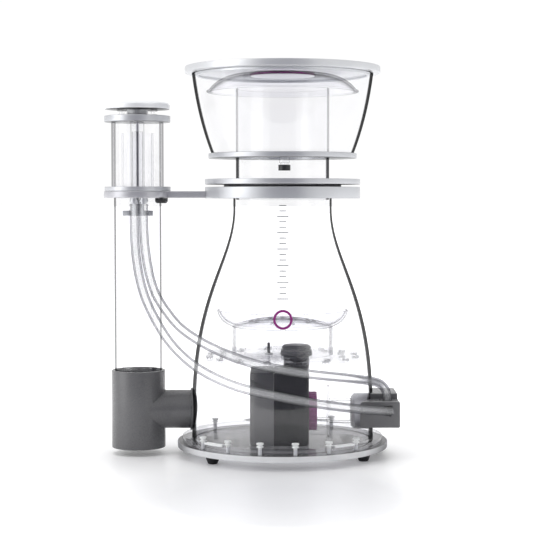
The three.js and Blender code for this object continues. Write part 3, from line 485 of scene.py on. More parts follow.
# A solid of revolution from a closed (radius, height) outline, about a vertical line through centre,
# or about a line parallel to X through along_x, where heights run to the right of the body's axis.
def turned(name, outline, centre=(0.0, 0.0), sides=LARGE, soft=0.4, along_x=None):
    profile = softened(outline, soft)
    points = []
    for step in range(sides):
        angle = 2 * math.pi * step / sides
        for radius, height in profile:
            across, up = radius * math.cos(angle), radius * math.sin(angle)
            if along_x:
                points.append((height + BODY_X, along_x[0] + across, along_x[1] + up))
            else:
                points.append((centre[0] + across, centre[1] + up, height))
    rows = len(profile)
    faces = []
    for step in range(sides):
        following = (step + 1) % sides
        for row in range(rows):
            other = (row + 1) % rows
            if profile[row][0] <= 0 and profile[other][0] <= 0:
                continue
            near, far = step * rows, following * rows
            faces.append((near + row, far + row, far + other, near + other))
    return mesh_object(name, points, faces)


def tube(outer, inner, bottom, top):
    return [(inner, bottom), (outer, bottom), (outer, top), (inner, top)]


def rod(radius, bottom, top):
    return [(0, bottom), (radius, bottom), (radius, top), (0, top)]


def bezier(points, steps):
    result = []
    for step in range(steps + 1):
        share = step / steps
        level = [Vector(point) for point in points]
        while len(level) > 1:
            level = [first.lerp(second, share) for first, second in zip(level, level[1:])]
        result.append(tuple(level[0]))
    return result


# A prism from a flat outline, with its two rims rounded. matrix places it.
def prism(name, outline, bottom, top, edge=1.0, matrix=None):
    count = len(outline)
    normals = []
    for index in range(count):
        before = Vector(outline[index]) - Vector(outline[index - 1])
        after = Vector(outline[(index + 1) % count]) - Vector(outline[index])
        normal = Vector((before.y, -before.x)).normalized() + Vector((after.y, -after.x)).normalized()
        normals.append(normal.normalized())
    layers = []
    steps = 4
    for step in range(steps + 1):
        angle = math.pi / 2 * step / steps
        layers.append((edge * (1 - math.sin(angle)), bottom + edge * (1 - math.cos(angle))))
    layers += [(inset, top + bottom - height) for inset, height in reversed(layers)]
    points = []
    for inset, height in layers:
        for (x, y), normal in zip(outline, normals):
            points.append((x - normal.x * inset, y - normal.y * inset, height))
    faces = [tuple(reversed(range(count))), tuple(range(count * (len(layers) - 1), count * len(layers)))]
    for layer in range(len(layers) - 1):
        for index in range(count):
            following = (index + 1) % count
            low, high = layer * count, (layer + 1) * count
            faces.append((low + index, low + following, high + following, high + index))
    made = mesh_object(name, points, faces)
    if matrix is not None:
        made.data.transform(matrix)
    return made


def rounded_rectangle(left, right, low, high, left_radius, right_radius, steps=8):
    corners = [
        (right - right_radius, low + right_radius, right_radius, -90),
        (right - right_radius, high - right_radius, right_radius, 0),
        (left + left_radius, high - left_radius, left_radius, 90),
        (left + left_radius, low + left_radius, left_radius, 180),
    ]
    outline = []
    for x, y, radius, start in corners:
        for step in range(steps + 1):
            angle = math.radians(start + 90 * step / steps)
            outline.append((x + radius * math.cos(angle), y + radius * math.sin(angle)))
    return outline


def around_front(circle, degrees):
    angle = math.radians(degrees - 90)
    return BODY_X + circle * math.cos(angle), circle * math.sin(angle)


def joined(name, objects):
    whole = bmesh.new()
    for piece in objects:
        whole.from_mesh(piece.data)
    mesh = bpy.data.meshes.new(name)
    whole.to_mesh(mesh)
    whole.free()
    for piece in objects:
        bpy.data.objects.remove(piece)
    made = bpy.data.objects.new(name, mesh)
    bpy.context.scene.collection.objects.link(made)
    return made


def combine(base, tools, operation):
    cutter = joined("tool", tools)
    modifier = base.modifiers.new("combine", "BOOLEAN")
    modifier.operation = operation
    modifier.solver = "EXACT"
    modifier.object = cutter
    modifier.use_self = operation == "UNION"
    evaluated = base.evaluated_get(bpy.context.evaluated_depsgraph_get())
    mesh = bpy.data.meshes.new_from_object(evaluated)
    base.modifiers.clear()
    base.data = mesh
    bpy.data.objects.remove(cutter)
    mesh.shade_smooth()
    mesh.set_sharp_from_angle(angle=math.radians(32))
    return base


def carve(base, *tools):
    return combine(base, list(tools), "DIFFERENCE")


def fuse(base, *tools):
    return combine(base, list(tools), "UNION")


def hole(radius, bottom, top, centre, sides=SMALL):
    return turned("tool", rod(radius, bottom, top), centre, sides, 0)


def hole_along_x(radius, left, right, line):
    return turned("tool", rod(radius, left, right), sides=MEDIUM, soft=0, along_x=line)


# The piece takes the place of a CAD node: same body, and the node's material slot unless another material is
# given.
def stand_for(piece, node, material=None):
    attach(piece, BODY_OF[node])
    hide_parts(node)
    paint(piece, material or SLOT_OF[node])
    return piece


def extra(piece, body, slot, material=None):
    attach(piece, body)
    paint(piece, material or slot)
    return piece


def paint(piece, material):
    piece.data.materials.clear()
    piece.data.materials.append(MATERIALS[material])


# Gives a further material to the faces that a test picks by their centre and normal.
def line_faces(piece, material, picked):
    piece.data.materials.append(MATERIALS[material])
    for face in piece.data.polygons:
        if picked(face.center, face.normal):
            face.material_index = len(piece.data.materials) - 1


# The inner side of an upright wall stays plain, so that only its outer side draws the outline.
def plain_inside(piece, axis=BODY_AXIS):
    def faces_the_axis(centre, normal):
        outward = Vector((centre.x - axis[0] * MM, centre.y - axis[1] * MM, 0)).normalized()
        return outward.dot(normal) < -0.3

    line_faces(piece, "inner_wall", faces_the_axis)


# Flecks the walls of upright holes of one radius.
def line_holes(piece, centres, radius):
    def in_a_hole(centre, normal):
        if abs(normal.z) > 0.5:
            return False
        distances = [math.dist(centre.xy, Vector(place) * MM) for place in centres]
        return any(abs(distance - radius * MM) < 0.4 * MM for distance in distances)

    line_faces(piece, "bored", in_a_hole)


# ---- Air hoses ----

HOSE_RADIUS = 6.0
HOSE_BORE = 4.0
TOP_HOSE_ROUTE = [
    (-0.1397, -0.0380, 0.3356),
    (-0.1397, -0.0380, 0.3080),
    (-0.1380, -0.0400, 0.2805),
    (-0.1325, -0.0480, 0.2480),
    (-0.1223, -0.0620, 0.2190),
    (-0.1067, -0.0780, 0.1968),
    (-0.0898, -0.0930, 0.1790),
    (-0.0672, -0.1080, 0.1644),
    (-0.0436, -0.1200, 0.1532),
    (-0.0171, -0.1290, 0.1430),
    (0.0129, -0.1330, 0.1340),
    (0.0479, -0.1330, 0.1272),
    (0.0809, -0.1260, 0.1213),
    (0.1149, -0.1100, 0.1160),
    (0.1429, -0.0900, 0.1105),
    (0.1614, -0.0715, 0.1055),
    (0.1713, -0.0606, 0.1006),
    (0.1778, -0.0528, 0.0920),
    (0.1801, -0.0500, 0.0820),
    (0.1801, -0.0500, 0.0740),
]
FRONT_HOSE_ROUTE = [
    (-0.1520, -0.0380, 0.3356),
    (-0.1520, -0.0380, 0.3080),
    (-0.1507, -0.0410, 0.2805),
    (-0.1459, -0.0500, 0.2480),
    (-0.1357, -0.0640, 0.2138),
    (-0.1179, -0.0840, 0.1818),
    (-0.1025, -0.0980, 0.1607),
    (-0.0866, -0.1100, 0.1451),
    (-0.0681, -0.1220, 0.1314),
    (-0.0431, -0.1320, 0.1184),
    (-0.0121, -0.1375, 0.1065),
    (0.0289, -0.1380, 0.0967),
    (0.0689, -0.1310, 0.0880),
    (0.1069, -0.1160, 0.0800),
    (0.1459, -0.0935, 0.0725),
    (0.1789, -0.0710, 0.0672),
    (0.1839, -0.0675, 0.0665),
]


# A smooth curve through the route's points, with spacing that follows the square root of their distance.
def smooth_route(route, steps):
    points = [Vector(point) for point in route]
    points = [2 * points[0] - points[1], *points, 2 * points[-1] - points[-2]]
    path = []
    for index in range(1, len(points) - 2):
        corners = points[index - 1:index + 3]
        knots = [0.0]
        for first, second in zip(corners, corners[1:]):
            knots.append(knots[-1] + max((second - first).length, 1e-6) ** 0.5)
        for step in range(steps):
            at = knots[1] + (knots[2] - knots[1]) * step / steps
            level, width = corners, 1
            while len(level) > 1:
                level = [
                    level[low].lerp(level[low + 1], (at - knots[low]) / (knots[low + width] - knots[low]))
                    for low in range(len(level) - 1)
                ]
                width += 1
            path.append(level[0])
    path.append(points[-2])
    return path


def hose_mesh(name, path, sides=28):
    along = (path[1] - path[0]).normalized()
    side = along.orthogonal().normalized()
    points = []
    for index, place in enumerate(path):
        ahead = path[min(index + 1, len(path) - 1)] - path[max(index - 1, 0)]
        side = (side - ahead.normalized() * side.dot(ahead.normalized())).normalized()
        across = ahead.normalized().cross(side)
        for radius in (HOSE_RADIUS * MM, HOSE_BORE * MM):
            for step in range(sides):
                angle = 2 * math.pi * step / sides
                points.append(place + side * radius * math.cos(angle) + across * radius * math.sin(angle))
    faces = []
    ring = 2 * sides
    last = (len(path) - 1) * ring
    for step in range(sides):
        other = (step + 1) % sides
        for index in range(len(path) - 1):
            low, high = index * ring, (index + 1) * ring
            faces.append((low + step, low + other, high + other, high + step))
            faces.append((low + sides + other, low + sides + step, high + sides + step, high + sides + other))
        faces.append((step, sides + step, sides + other, other))
        faces.append((last + other, last + sides + other, last + sides + step, last + step))
    return mesh_object(name, points, faces, scale=1.0)


def add_hoses():
    for node, route in (("air_hose_top", TOP_HOSE_ROUTE), ("air_hose_front", FRONT_HOSE_ROUTE)):
        path = smooth_route(route, 8)
        hose = stand_for(hose_mesh(node + "_tube", path), node)


# ---- Base and body ----

FOOT_CIRCLE = 122.0
FOOT_ANGLES = (42, 150, 222, 330)
SCREW_CIRCLE = 129.0
SCREW_BORE = 2.8
FLANGE_RADIUS = 134.0
SCREW_ANGLES = (-53, -33, -13, 7, 27, 47, 147, 227)
TAB_ANGLES = (-43, 37, 157, 197)
TAB_INNER, TAB_OUTER, TAB_HALF_ANGLE = 125.5, 133.0, 7.0
BODY_FOOT, FOOT_RADIUS, NECK_RADIUS = 19.3, 121.5, 65.8
BODY_CURVE = [(FOOT_RADIUS, 60.0), (FOOT_RADIUS, 220.0), (NECK_RADIUS, 260.0), (NECK_RADIUS, 330.0)]
BODY_WALL = 3.0
COLLAR_RADIUS = 103.6
SHAFT_BORE, INTAKE_BORE = 12.5, 16.8


def add_base():
    for index, degrees in enumerate(FOOT_ANGLES):
        angle = math.radians(degrees)
        centre = (BODY_X + FOOT_CIRCLE * math.cos(angle), FOOT_CIRCLE * math.sin(angle))
        foot = [(0, 0), (5.8, 0), (6.6, 1.4), (9.9, 9.4), (9.9, 10.7), (0, 10.7)]
        stand_for(turned(f"rubber_foot_{index + 1}", foot, centre, MEDIUM, 0.8), f"foot_{index + 1}")

    def screw_holes(bottom, top):
        places = [around_front(SCREW_CIRCLE, degrees) for degrees in SCREW_ANGLES]
        return [hole(SCREW_BORE, bottom, top, place) for place in places]

    plate = turned("clear_base_plate", rod(PLATE_RADIUS, 11, 19), BODY_AXIS, LARGE, 1.0)
    carve(plate, *screw_holes(13, 20))
    stand_for(plate, "base_plate", "clear_base")
    middle = Vector(BODY_AXIS) * MM
    rim_start = (PLATE_RADIUS - 0.8) * MM
    line_faces(plate, "plate_rim", lambda centre, normal: math.dist(centre.xy, middle) > rim_start)

    flange = turned("clear_flange", tube(FLANGE_RADIUS, 121.8, BODY_FOOT, 26), BODY_AXIS, LARGE, 0.6)
    tabs = []
    for centre in TAB_ANGLES:
        degrees = [centre - TAB_HALF_ANGLE + 2 * TAB_HALF_ANGLE * step / 10 for step in range(11)]
        outline = [around_front(TAB_OUTER, angle) for angle in degrees]
        outline += [around_front(TAB_INNER, angle) for angle in reversed(degrees)]
        tabs.append(prism("tab", outline, 25, 28.5, 0.5))
    fuse(flange, *tabs)
    carve(flange, *screw_holes(18, 30))
    stand_for(flange, "body_flange", "clear_flange")
    line_faces(flange, "frosted", lambda centre, normal: centre.z > 26.3 * MM)

    screw_outline = [
        (0, 14), (2.5, 14), (2.5, 28.8), (4.7, 28.8), (4.7, 29.6), (3.0, 30.6), (3.0, 31.2),
        (4.7, 32.3), (4.7, 34.4), (2.6, 34.4), (2.2, 33.6), (0, 33.6),
    ]
    for index, degrees in enumerate(SCREW_ANGLES):
        place = around_front(SCREW_CIRCLE, degrees)
        screw = turned(f"nylon_screw_{index + 1}", screw_outline, place, SMALL, 0.3)
        stand_for(screw, f"flange_screw_{index + 1}")


def body_plug(offset):
    curve = [(radius + offset, height) for radius, height in bezier(BODY_CURVE, 40)]
    return turned("tool", [(0, 0), (FOOT_RADIUS + offset, 0), *curve, (0, 330)], BODY_AXIS, LARGE, 0)


def add_body():
    outer = bezier(BODY_CURVE, 44)
    inner = [(radius - BODY_WALL, height) for radius, height in reversed(outer)]
    neck_inside, foot_inside = NECK_RADIUS - BODY_WALL, FOOT_RADIUS - BODY_WALL
    outline = [
        (FOOT_RADIUS, BODY_FOOT), *outer, (NECK_RADIUS, 357),
        (neck_inside, 357), *inner, (foot_inside, BODY_FOOT),
    ]
    shell = turned("clear_body", outline, BODY_AXIS, FINE, 0.3)
    carve(shell, hole_along_x(25.9, -130, -100, BRANCH_LINE), hole_along_x(17.0, 100, 130, PUMP_LINE))
    stand_for(shell, "body_shell")
    plain_inside(shell)

    collar = turned("grey_body_collar", tube(COLLAR_RADIUS, 66.1, 343.3, 358.4), BODY_AXIS, FINE, 0.7)
    stand_for(collar, "body_collar")
    seal = turned("dark_collar_seal", tube(78.5, 68, 358.7, 361.5), BODY_AXIS, LARGE, 0.5)
    stand_for(seal, "collar_seal", "seal_rubber")


# ---- Cup and lid ----

DRAIN_AXIS = (BODY_X + 2.0, -80.0)


def add_cup():
    collar = turned("grey_cup_collar", tube(COLLAR_RADIUS, 62.5, 361.8, 368.9), BODY_AXIS, FINE, 0.7)
    stand_for(collar, "cup_collar")
    riser = turned("clear_riser", tube(62.2, 59.2, 341.5, 489), BODY_AXIS, LARGE, 0.4)
    stand_for(riser, "riser_tube", "clear_riser")
    plain_inside(riser)
    floor_plate = turned("grey_cup_floor", tube(99, 62.5, 396.5, 403), BODY_AXIS, FINE, 0.7)
    carve(floor_plate, hole(5.3, 395, 405, DRAIN_AXIS))
    stand_for(floor_plate, "cup_floor")

    outer = bezier([(95, 403.3), (113.4, 450.5), (120.7, 508.7)], 24)
    inner = bezier([(91.5, 403.3), (109.9, 450.5), (117.2, 508.7)], 24)
    cup = turned("clear_cup", [*outer, *reversed(inner)], BODY_AXIS, FINE, 0.4)
    stand_for(cup, "cup_shell", "clear_cup")
    plain_inside(cup)

    nipple = [
        (3.2, 380.5), (5, 380.5), (5, 389), (6.5, 389), (6.5, 396.2), (5, 396.2), (5, 403), (3.2, 403),
    ]
    stand_for(turned("clear_drain", nipple, DRAIN_AXIS, SMALL, 0.3), "drain_nipple")
    cap = [(0, 378.9), (7.8, 378.9), (7.8, 386.3), (5.6, 386.3), (5.6, 380.2), (0, 380.2)]
    drain_cap = turned("black_drain_cap", cap, DRAIN_AXIS, SMALL, 0.8)
    stand_for(drain_cap, "drain_cap")


def add_lid():
    disc = [
        (36.3, 509), (112, 509), (112, 505.5), (116, 505.5), (116, 509), (130, 509), (130, 518), (36.3, 518),
    ]
    stand_for(turned("grey_lid", disc, BODY_AXIS, FINE, 1.1), "lid_disc", "satin_lid")
    inlay = [(0, 505.6), (43, 505.6), (43, 508.7), (36, 508.7), (36, 518.6), (0, 518.6)]
    inlay_plug = stand_for(turned("magenta_inlay", inlay, BODY_AXIS, LARGE, 0.5), "lid_inlay")
    # The inlay's downward faces take the pale lid colour: a painted reflection of white under the magenta
    # disc.
    line_faces(inlay_plug, "satin_lid", lambda centre, normal: normal.z < -0.5)
    outer = bezier([(56, 508.7), (86, 505.7), (99, 486.4)], 20)
    inner = bezier([(53.5, 506.2), (83.5, 503.2), (96.5, 486.4)], 20)
    dome = [
        (43.3, 506.2), *inner, (96.5, 484.4), (101.4, 484.4), (101.4, 486.4), *reversed(outer), (43.3, 508.7),
    ]
    stand_for(turned("clear_deflector", dome, BODY_AXIS, LARGE, 0.5), "lid_deflector", "clear_dome")


# ---- Diffuser ----

DISH_BORE, BUBBLE_BORE = 3.0, 4.5

def hole_places(*circles):
    return [
        around_front(circle, 360 * (index + 0.5) / count)
        for circle, count in circles
        for index in range(count)
    ]


def add_diffuser():
    skirt = turned("clear_skirt", tube(67.7, 65, 134.5, 171.2), BODY_AXIS, LARGE, 0.3)
    stand_for(skirt, "diffuser_skirt", "clear_skirt")

    under = bezier([(67, 171.5), (85, 177.5), (88, 193.8)], 16)
    upper = bezier([(64.4, 174.1), (82.4, 180.1), (85.4, 193.8)], 16)
    crown = bezier([(64.4, 174.1), (40, 182), (20, 184.3), (0, 184.3)], 14)
    vault = bezier([(0, 181.7), (20, 181.7), (38, 179.5), (64.4, 171.5)], 14)
    dish = turned("clear_dish", [*vault, *under, *reversed(upper), *crown[1:]], BODY_AXIS, LARGE, 0.25)
    places = hole_places((18, 5), (42, 10))
    carve(dish, *[hole(DISH_BORE, 165, 190, place) for place in places])
    stand_for(dish, "diffuser_dish", "clear_dome")
    line_holes(dish, places, DISH_BORE)
    line_faces(dish, "acrylic_edge", lambda centre, normal: centre.z > 193.4 * MM)

    plate = turned("clear_bubble_plate", rod(111.5, 130.3, 134.2), BODY_AXIS, LARGE, 0.4)
    places = hole_places((82, 12), (99, 16))
    bubble_holes = [hole(BUBBLE_BORE, 128, 136, place) for place in places]
    carve(plate, hole(17.4, 128, 136, OUTLET_AXIS, MEDIUM), *bubble_holes)
    stand_for(plate, "bubble_plate", "clear_plate")
    line_holes(plate, places, BUBBLE_BORE)


# ---- Pump and intake ----

OUTLET_AXIS = (BODY_X + 18.4, -20.0)
WALL_CORNER = 8.0
SEAM_CORNER = 0.3
PUMP_FRONT, PUMP_BACK, PUMP_BOTTOM, PUMP_TOP = -64.0, 20.0, 19.3, 116.0
PEG_AXIS = (BODY_X - 18.6, -5.0)


def add_pump():
    left, seam, right = BODY_X - 43, BODY_X - 11.6, BODY_X + 34.5
    outline = rounded_rectangle(left, seam, PUMP_FRONT, PUMP_BACK, WALL_CORNER, SEAM_CORNER)
    motor = prism("pump_motor_case", outline, PUMP_BOTTOM, PUMP_TOP, 3.0)
    carve(motor, hole_along_x(SHAFT_BORE, -35, -10.6, PUMP_LINE))
    stand_for(motor, "pump_motor")
    outline = rounded_rectangle(seam + 0.1, right, PUMP_FRONT, PUMP_BACK, SEAM_CORNER, WALL_CORNER)
    volute = prism("pump_volute_case", outline, PUMP_BOTTOM, PUMP_TOP, 3.0)
    bores = (
        hole_along_x(SHAFT_BORE, -12.3, 3, PUMP_LINE),
        hole_along_x(27, 2, 31, PUMP_LINE),
        hole_along_x(SHAFT_BORE, 30, 35.5, PUMP_LINE),
        hole(13, 60.5, 117, OUTLET_AXIS, MEDIUM),
    )
    for bore in bores:
        carve(volute, bore)
    stand_for(volute, "pump_volute")

    magnet = [(0, -34), (11.5, -34), (11.5, -1), (2.5, -1), (2.5, 24), (0, 24)]
    stand_for(turned("rotor", magnet, sides=SMALL, along_x=PUMP_LINE), "rotor_shaft")
    wheel = turned("needle_wheel", [(2.8, 5), (24, 5), (24, 7.5), (6, 7.5), (6, 20), (2.8, 20)], sides=MEDIUM,
                   along_x=PUMP_LINE)
    needles = []
    for index in range(10):
        turn = 2 * math.pi * index / 10
        line = (PUMP_LINE[0] + 20 * math.cos(turn), PUMP_LINE[1] + 20 * math.sin(turn))
        needles.append(turned("needle", rod(1.5, 7, 21), sides=12, soft=0.3, along_x=line))
    fuse(wheel, *needles)
    stand_for(wheel, "impeller")

    head = [
        (13, 116.3), (17, 116.3), (17, 134.5), (21.2, 134.5), (21.2, 142), (19.6, 142),
        (19.6, 146), (16.6, 149), (0, 149), (0, 146), (13, 146),
    ]
    outlet = turned("pump_outlet_head", head, OUTLET_AXIS, MEDIUM, 1.2)
    window = [(OUTLET_AXIS[0] + x, OUTLET_AXIS[1] + y) for x, y in ((-30, -5), (30, -5), (30, 5), (-30, 5))]
    carve(outlet, prism("tool", window, 139, 145, 0.01))
    stand_for(outlet, "pump_outlet", "pump_outlet")

    gland = turned("cable_boss", [(0, 0), (6, 0), (6, 6), (4.6, 10), (0, 10)], (0, 0), SMALL, 0.5)
    gland_place = Matrix.Translation(Vector((BODY_X - 27, 20.3, 96)) * MM)
    gland.data.transform(gland_place @ Matrix.Rotation(-math.pi / 2, 4, "X"))
    stand_for(gland, "cable_gland")

    peg = turned("plate_peg", rod(1.9, 134.3, 150), PEG_AXIS, SMALL, 0.6)
    extra(peg, "root", "black_plastic")
    ring = turned("plate_peg_ring", tube(5.5, 2.1, 134.3, 136.4), PEG_AXIS, SMALL, 0.4)
    extra(ring, "root", "nylon")


def add_intake():
    ribs, outer, valley = 24, 25.7, 24.6
    outline = []
    for index in range(ribs * 4):
        radius = (outer, outer, valley, valley)[index % 4]
        turn = 2 * math.pi * (index + 0.5) / (ribs * 4)
        outline.append((radius * math.cos(turn), radius * math.sin(turn)))
    nut = prism("ribbed_nut", outline, 34.8, 45.5, 0.6)
    nut.data.transform(
        Matrix.Translation(Vector((BODY_X, *PUMP_LINE)) * MM) @ Matrix.Rotation(math.pi / 2, 4, "Y"))
    carve(nut, hole_along_x(SHAFT_BORE, 30, 50, PUMP_LINE))
    stand_for(nut, "union_nut")

    pipe = [
        (9.5, 32), (12, 32), (12, 59.5), (35, 59.5), (35, 62), (16.5, 62), (16.5, 138), (14, 138),
        (14, 64), (9.5, 64),
    ]
    stand_for(turned("clear_intake", pipe, sides=MEDIUM, along_x=PUMP_LINE), "intake_pipe", "clear_thin")

    socket_outline = [(16.8, 91), (19.7, 91), (23.7, 95), (23.7, 131.5), (16.8, 131.5)]
    socket = turned("intake_socket_ring", socket_outline, sides=MEDIUM, soft=0.3, along_x=PUMP_LINE)
    combine(socket, [body_plug(-BODY_WALL - 0.3)], "INTERSECT")
    stand_for(socket, "intake_socket", "satin_dark")


def hose_bore(route):
    last, before = Vector(route[-1]), Vector(route[-2])
    along = (last - before).normalized()
    bore = turned("tool", rod(7.1, -39, 1), (0, 0), SMALL, 0)
    bore.data.transform(Matrix.Translation(last) @ along.to_track_quat("Z", "Y").to_matrix().to_4x4())
    return bore


def add_air_block():
    outline = rounded_rectangle(98, 153, 44.5, 78.5, 9, 2)
    block = prism("air_block_body", outline, -24, 68, 1.2)
    upright = Matrix.Translation(Vector((BODY_X, 0, 0)) * MM) @ Matrix.Rotation(math.pi / 2, 4, "X")
    block.data.transform(upright)
    raised = prism("raised", rounded_rectangle(BODY_X + 110, BODY_X + 152.2, -36, 24, 2, 2), 73.5, 85.4, 1.2)
    fuse(block, raised)
    pipe_bore = hole_along_x(INTAKE_BORE, 90, 139, PUMP_LINE)
    for tool in (body_plug(0.3), pipe_bore, hose_bore(TOP_HOSE_ROUTE), hose_bore(FRONT_HOSE_ROUTE)):
        carve(block, tool)
    stand_for(block, "air_block")


# ---- Outlet column ----

ROD_RADIUS = 1.6
ROD_CLEARANCE = 1.9
TEE_RADIUS, TEE_BOTTOM, TEE_TOP = 36.0, 9.0, 113.0
SOCKET_BORE = 31.8
PIPE_RADIUS = 31.5
OVERFLOW_RADIUS = 20.6
BRANCH_BORE = 22.3
BRANCH_RADIUS = 25.8

def branch_sleeve(length):
    points, faces = [], []
    rings, sides = 24, MEDIUM
    for ring in range(rings + 1):
        along = length * ring / rings
        share = min(along / (length * 0.62), 1)
        widest = 35.6 / BRANCH_RADIUS
        wide = widest + (1 - widest) * share
        for step in range(sides):
            turn = 2 * math.pi * step / sides
            across, up = BRANCH_RADIUS * wide * math.cos(turn), BRANCH_RADIUS * math.sin(turn)
            points.append((COLUMN_X + along, across, BRANCH_LINE[1] + up))
    for ring in range(rings):
        for step in range(sides):
            other = (step + 1) % sides
            low, high = ring * sides, (ring + 1) * sides
            faces.append((low + step, low + other, high + other, high + step))
    faces.append(tuple(reversed(range(sides))))
    faces.append(tuple(range(rings * sides, (rings + 1) * sides)))
    return mesh_object("tool", points, faces)


def add_outlet():
    tee = turned("grey_tee", rod(TEE_RADIUS, TEE_BOTTOM, TEE_TOP), COLUMN_AXIS, LARGE, 1.0)
    fuse(tee, branch_sleeve(77.3))
    carve(tee, hole(29, 8, 114, COLUMN_AXIS, LARGE))
    carve(tee, hole(SOCKET_BORE, 8, 34, COLUMN_AXIS, LARGE), hole(SOCKET_BORE, 88, 114, COLUMN_AXIS, LARGE))
    carve(tee, hole_along_x(BRANCH_BORE, -193.8, -100, BRANCH_LINE))
    carve(tee, body_plug(2.8))
    stand_for(tee, "outlet_tee")

    stand_for(turned("grey_bush", tube(PIPE_RADIUS, 20.9, 9.3, 33.7), COLUMN_AXIS, MEDIUM), "tee_bush")
    pipe = turned("clear_outlet_pipe", tube(PIPE_RADIUS, 28.7, 88.3, 352.4), COLUMN_AXIS, LARGE)
    stand_for(pipe, "outlet_pipe", "clear_column")
    plain_inside(pipe, COLUMN_AXIS)
    inner_pipe = turned("grey_branch_pipe", tube(22, 19.2, -162.8, -117.5), sides=MEDIUM, along_x=BRANCH_LINE)
    stand_for(inner_pipe, "branch_pipe")

    flange = turned("rubber_gasket", rod(28.4, -150, -100), sides=MEDIUM, soft=0, along_x=BRANCH_LINE)
    combine(flange, [body_plug(2.5)], "INTERSECT")
    carve(flange, body_plug(0.3))
    sleeve = turned("sleeve", rod(25.6, -150, -100), sides=MEDIUM, soft=0, along_x=BRANCH_LINE)
    combine(sleeve, [body_plug(1.3)], "INTERSECT")
    carve(sleeve, body_plug(-3.0))
    fuse(flange, sleeve)
    carve(flange, hole_along_x(BRANCH_BORE, -160, -90, BRANCH_LINE))
    stand_for(flange, "branch_gasket", "dark_pvc")


def add_overflow():
    overflow = turned("clear_overflow", tube(OVERFLOW_RADIUS, 18.2, 10, 319.7), COLUMN_AXIS, MEDIUM)
    stand_for(overflow, "overflow_tube", "clear_sleeve")
    spider = turned("grey_spider", rod(9, 320, 338), COLUMN_AXIS, MEDIUM, 0.6)
    for wide, deep in ((OVERFLOW_RADIUS, 2.5), (2.5, OVERFLOW_RADIUS)):
        outline = rounded_rectangle(COLUMN_X - wide, COLUMN_X + wide, -deep, deep, 1, 1, 3)
        fuse(spider, prism("arm", outline, 320, 327, 0.4))
    carve(spider, hole(ROD_CLEARANCE, 319, 339, COLUMN_AXIS))
    stand_for(spider, "overflow_spider")
    adjusting_rod = turned("adjusting_rod", rod(ROD_RADIUS, 325, 467.5), COLUMN_AXIS, SMALL, 0.3)
    stand_for(adjusting_rod, "adjuster_rod", "steel")
    knob = [
        (ROD_CLEARANCE, 453.3), (14, 453.3), (14, 461.6), (43, 461.6), (43, 467.7), (40, 470.7),
        (0, 470.7), (0, 467.8), (ROD_CLEARANCE, 467.8),
    ]
    stand_for(turned("grey_knob", knob, COLUMN_AXIS, LARGE, 0.9), "adjuster_knob", "satin_pale")


def add_bracket():
    meet = math.asin(20 / 45)
    arc = [meet + (2 * math.pi - 2 * meet) * step / 60 for step in range(61)]
    outline = [(COLUMN_X + 45 * math.cos(angle), 45 * math.sin(angle)) for angle in arc]
    arm_end = BODY_X - 96
    outline += [(arm_end, -20), (arm_end, 20)]
    plate = prism("grey_bracket", outline, 344, 352.7, 0.7)
    screw_axis = (COLUMN_X + 33.5, -23)
    carve(
        plate,
        hole(103.9, 330, 370, BODY_AXIS, FINE),
        hole(SOCKET_BORE, 343, 354, COLUMN_AXIS, LARGE),
        hole(2.5, 330, 360, screw_axis),
    )
    stand_for(plate, "column_bracket", "satin_dark")
    screw = [(0, 336.9), (6.6, 336.9), (8.5, 339.4), (8.5, 343.7), (2.2, 343.7), (2.2, 357.8), (0, 357.8)]
    stand_for(turned("black_thumb_screw", screw, screw_axis, SMALL, 0.7), "bracket_screw")

    base = turned("grey_silencer_base", tube(44, 12, 353, 358.8), COLUMN_AXIS, LARGE, 0.6)
    carve(base, hole(2.5, 330, 360, screw_axis))
    stand_for(base, "silencer_base")
    for index, route in enumerate((TOP_HOSE_ROUTE, FRONT_HOSE_ROUTE)):
        centre = (route[0][0] / MM, route[0][1] / MM)
        nipple = [
            (0, 335.9), (5, 335.9), (5, 338.5), (6, 338.5),
            (6, 341.2), (5.4, 341.2), (5.4, 343.7), (0, 343.7),
        ]
        stand_for(turned(f"grey_nipple_{index + 1}", nipple, centre, SMALL, 0.25), f"hose_nipple_{index + 1}")


SILENCER_BOTTOM, SILENCER_TOP = 359.1, 444.3


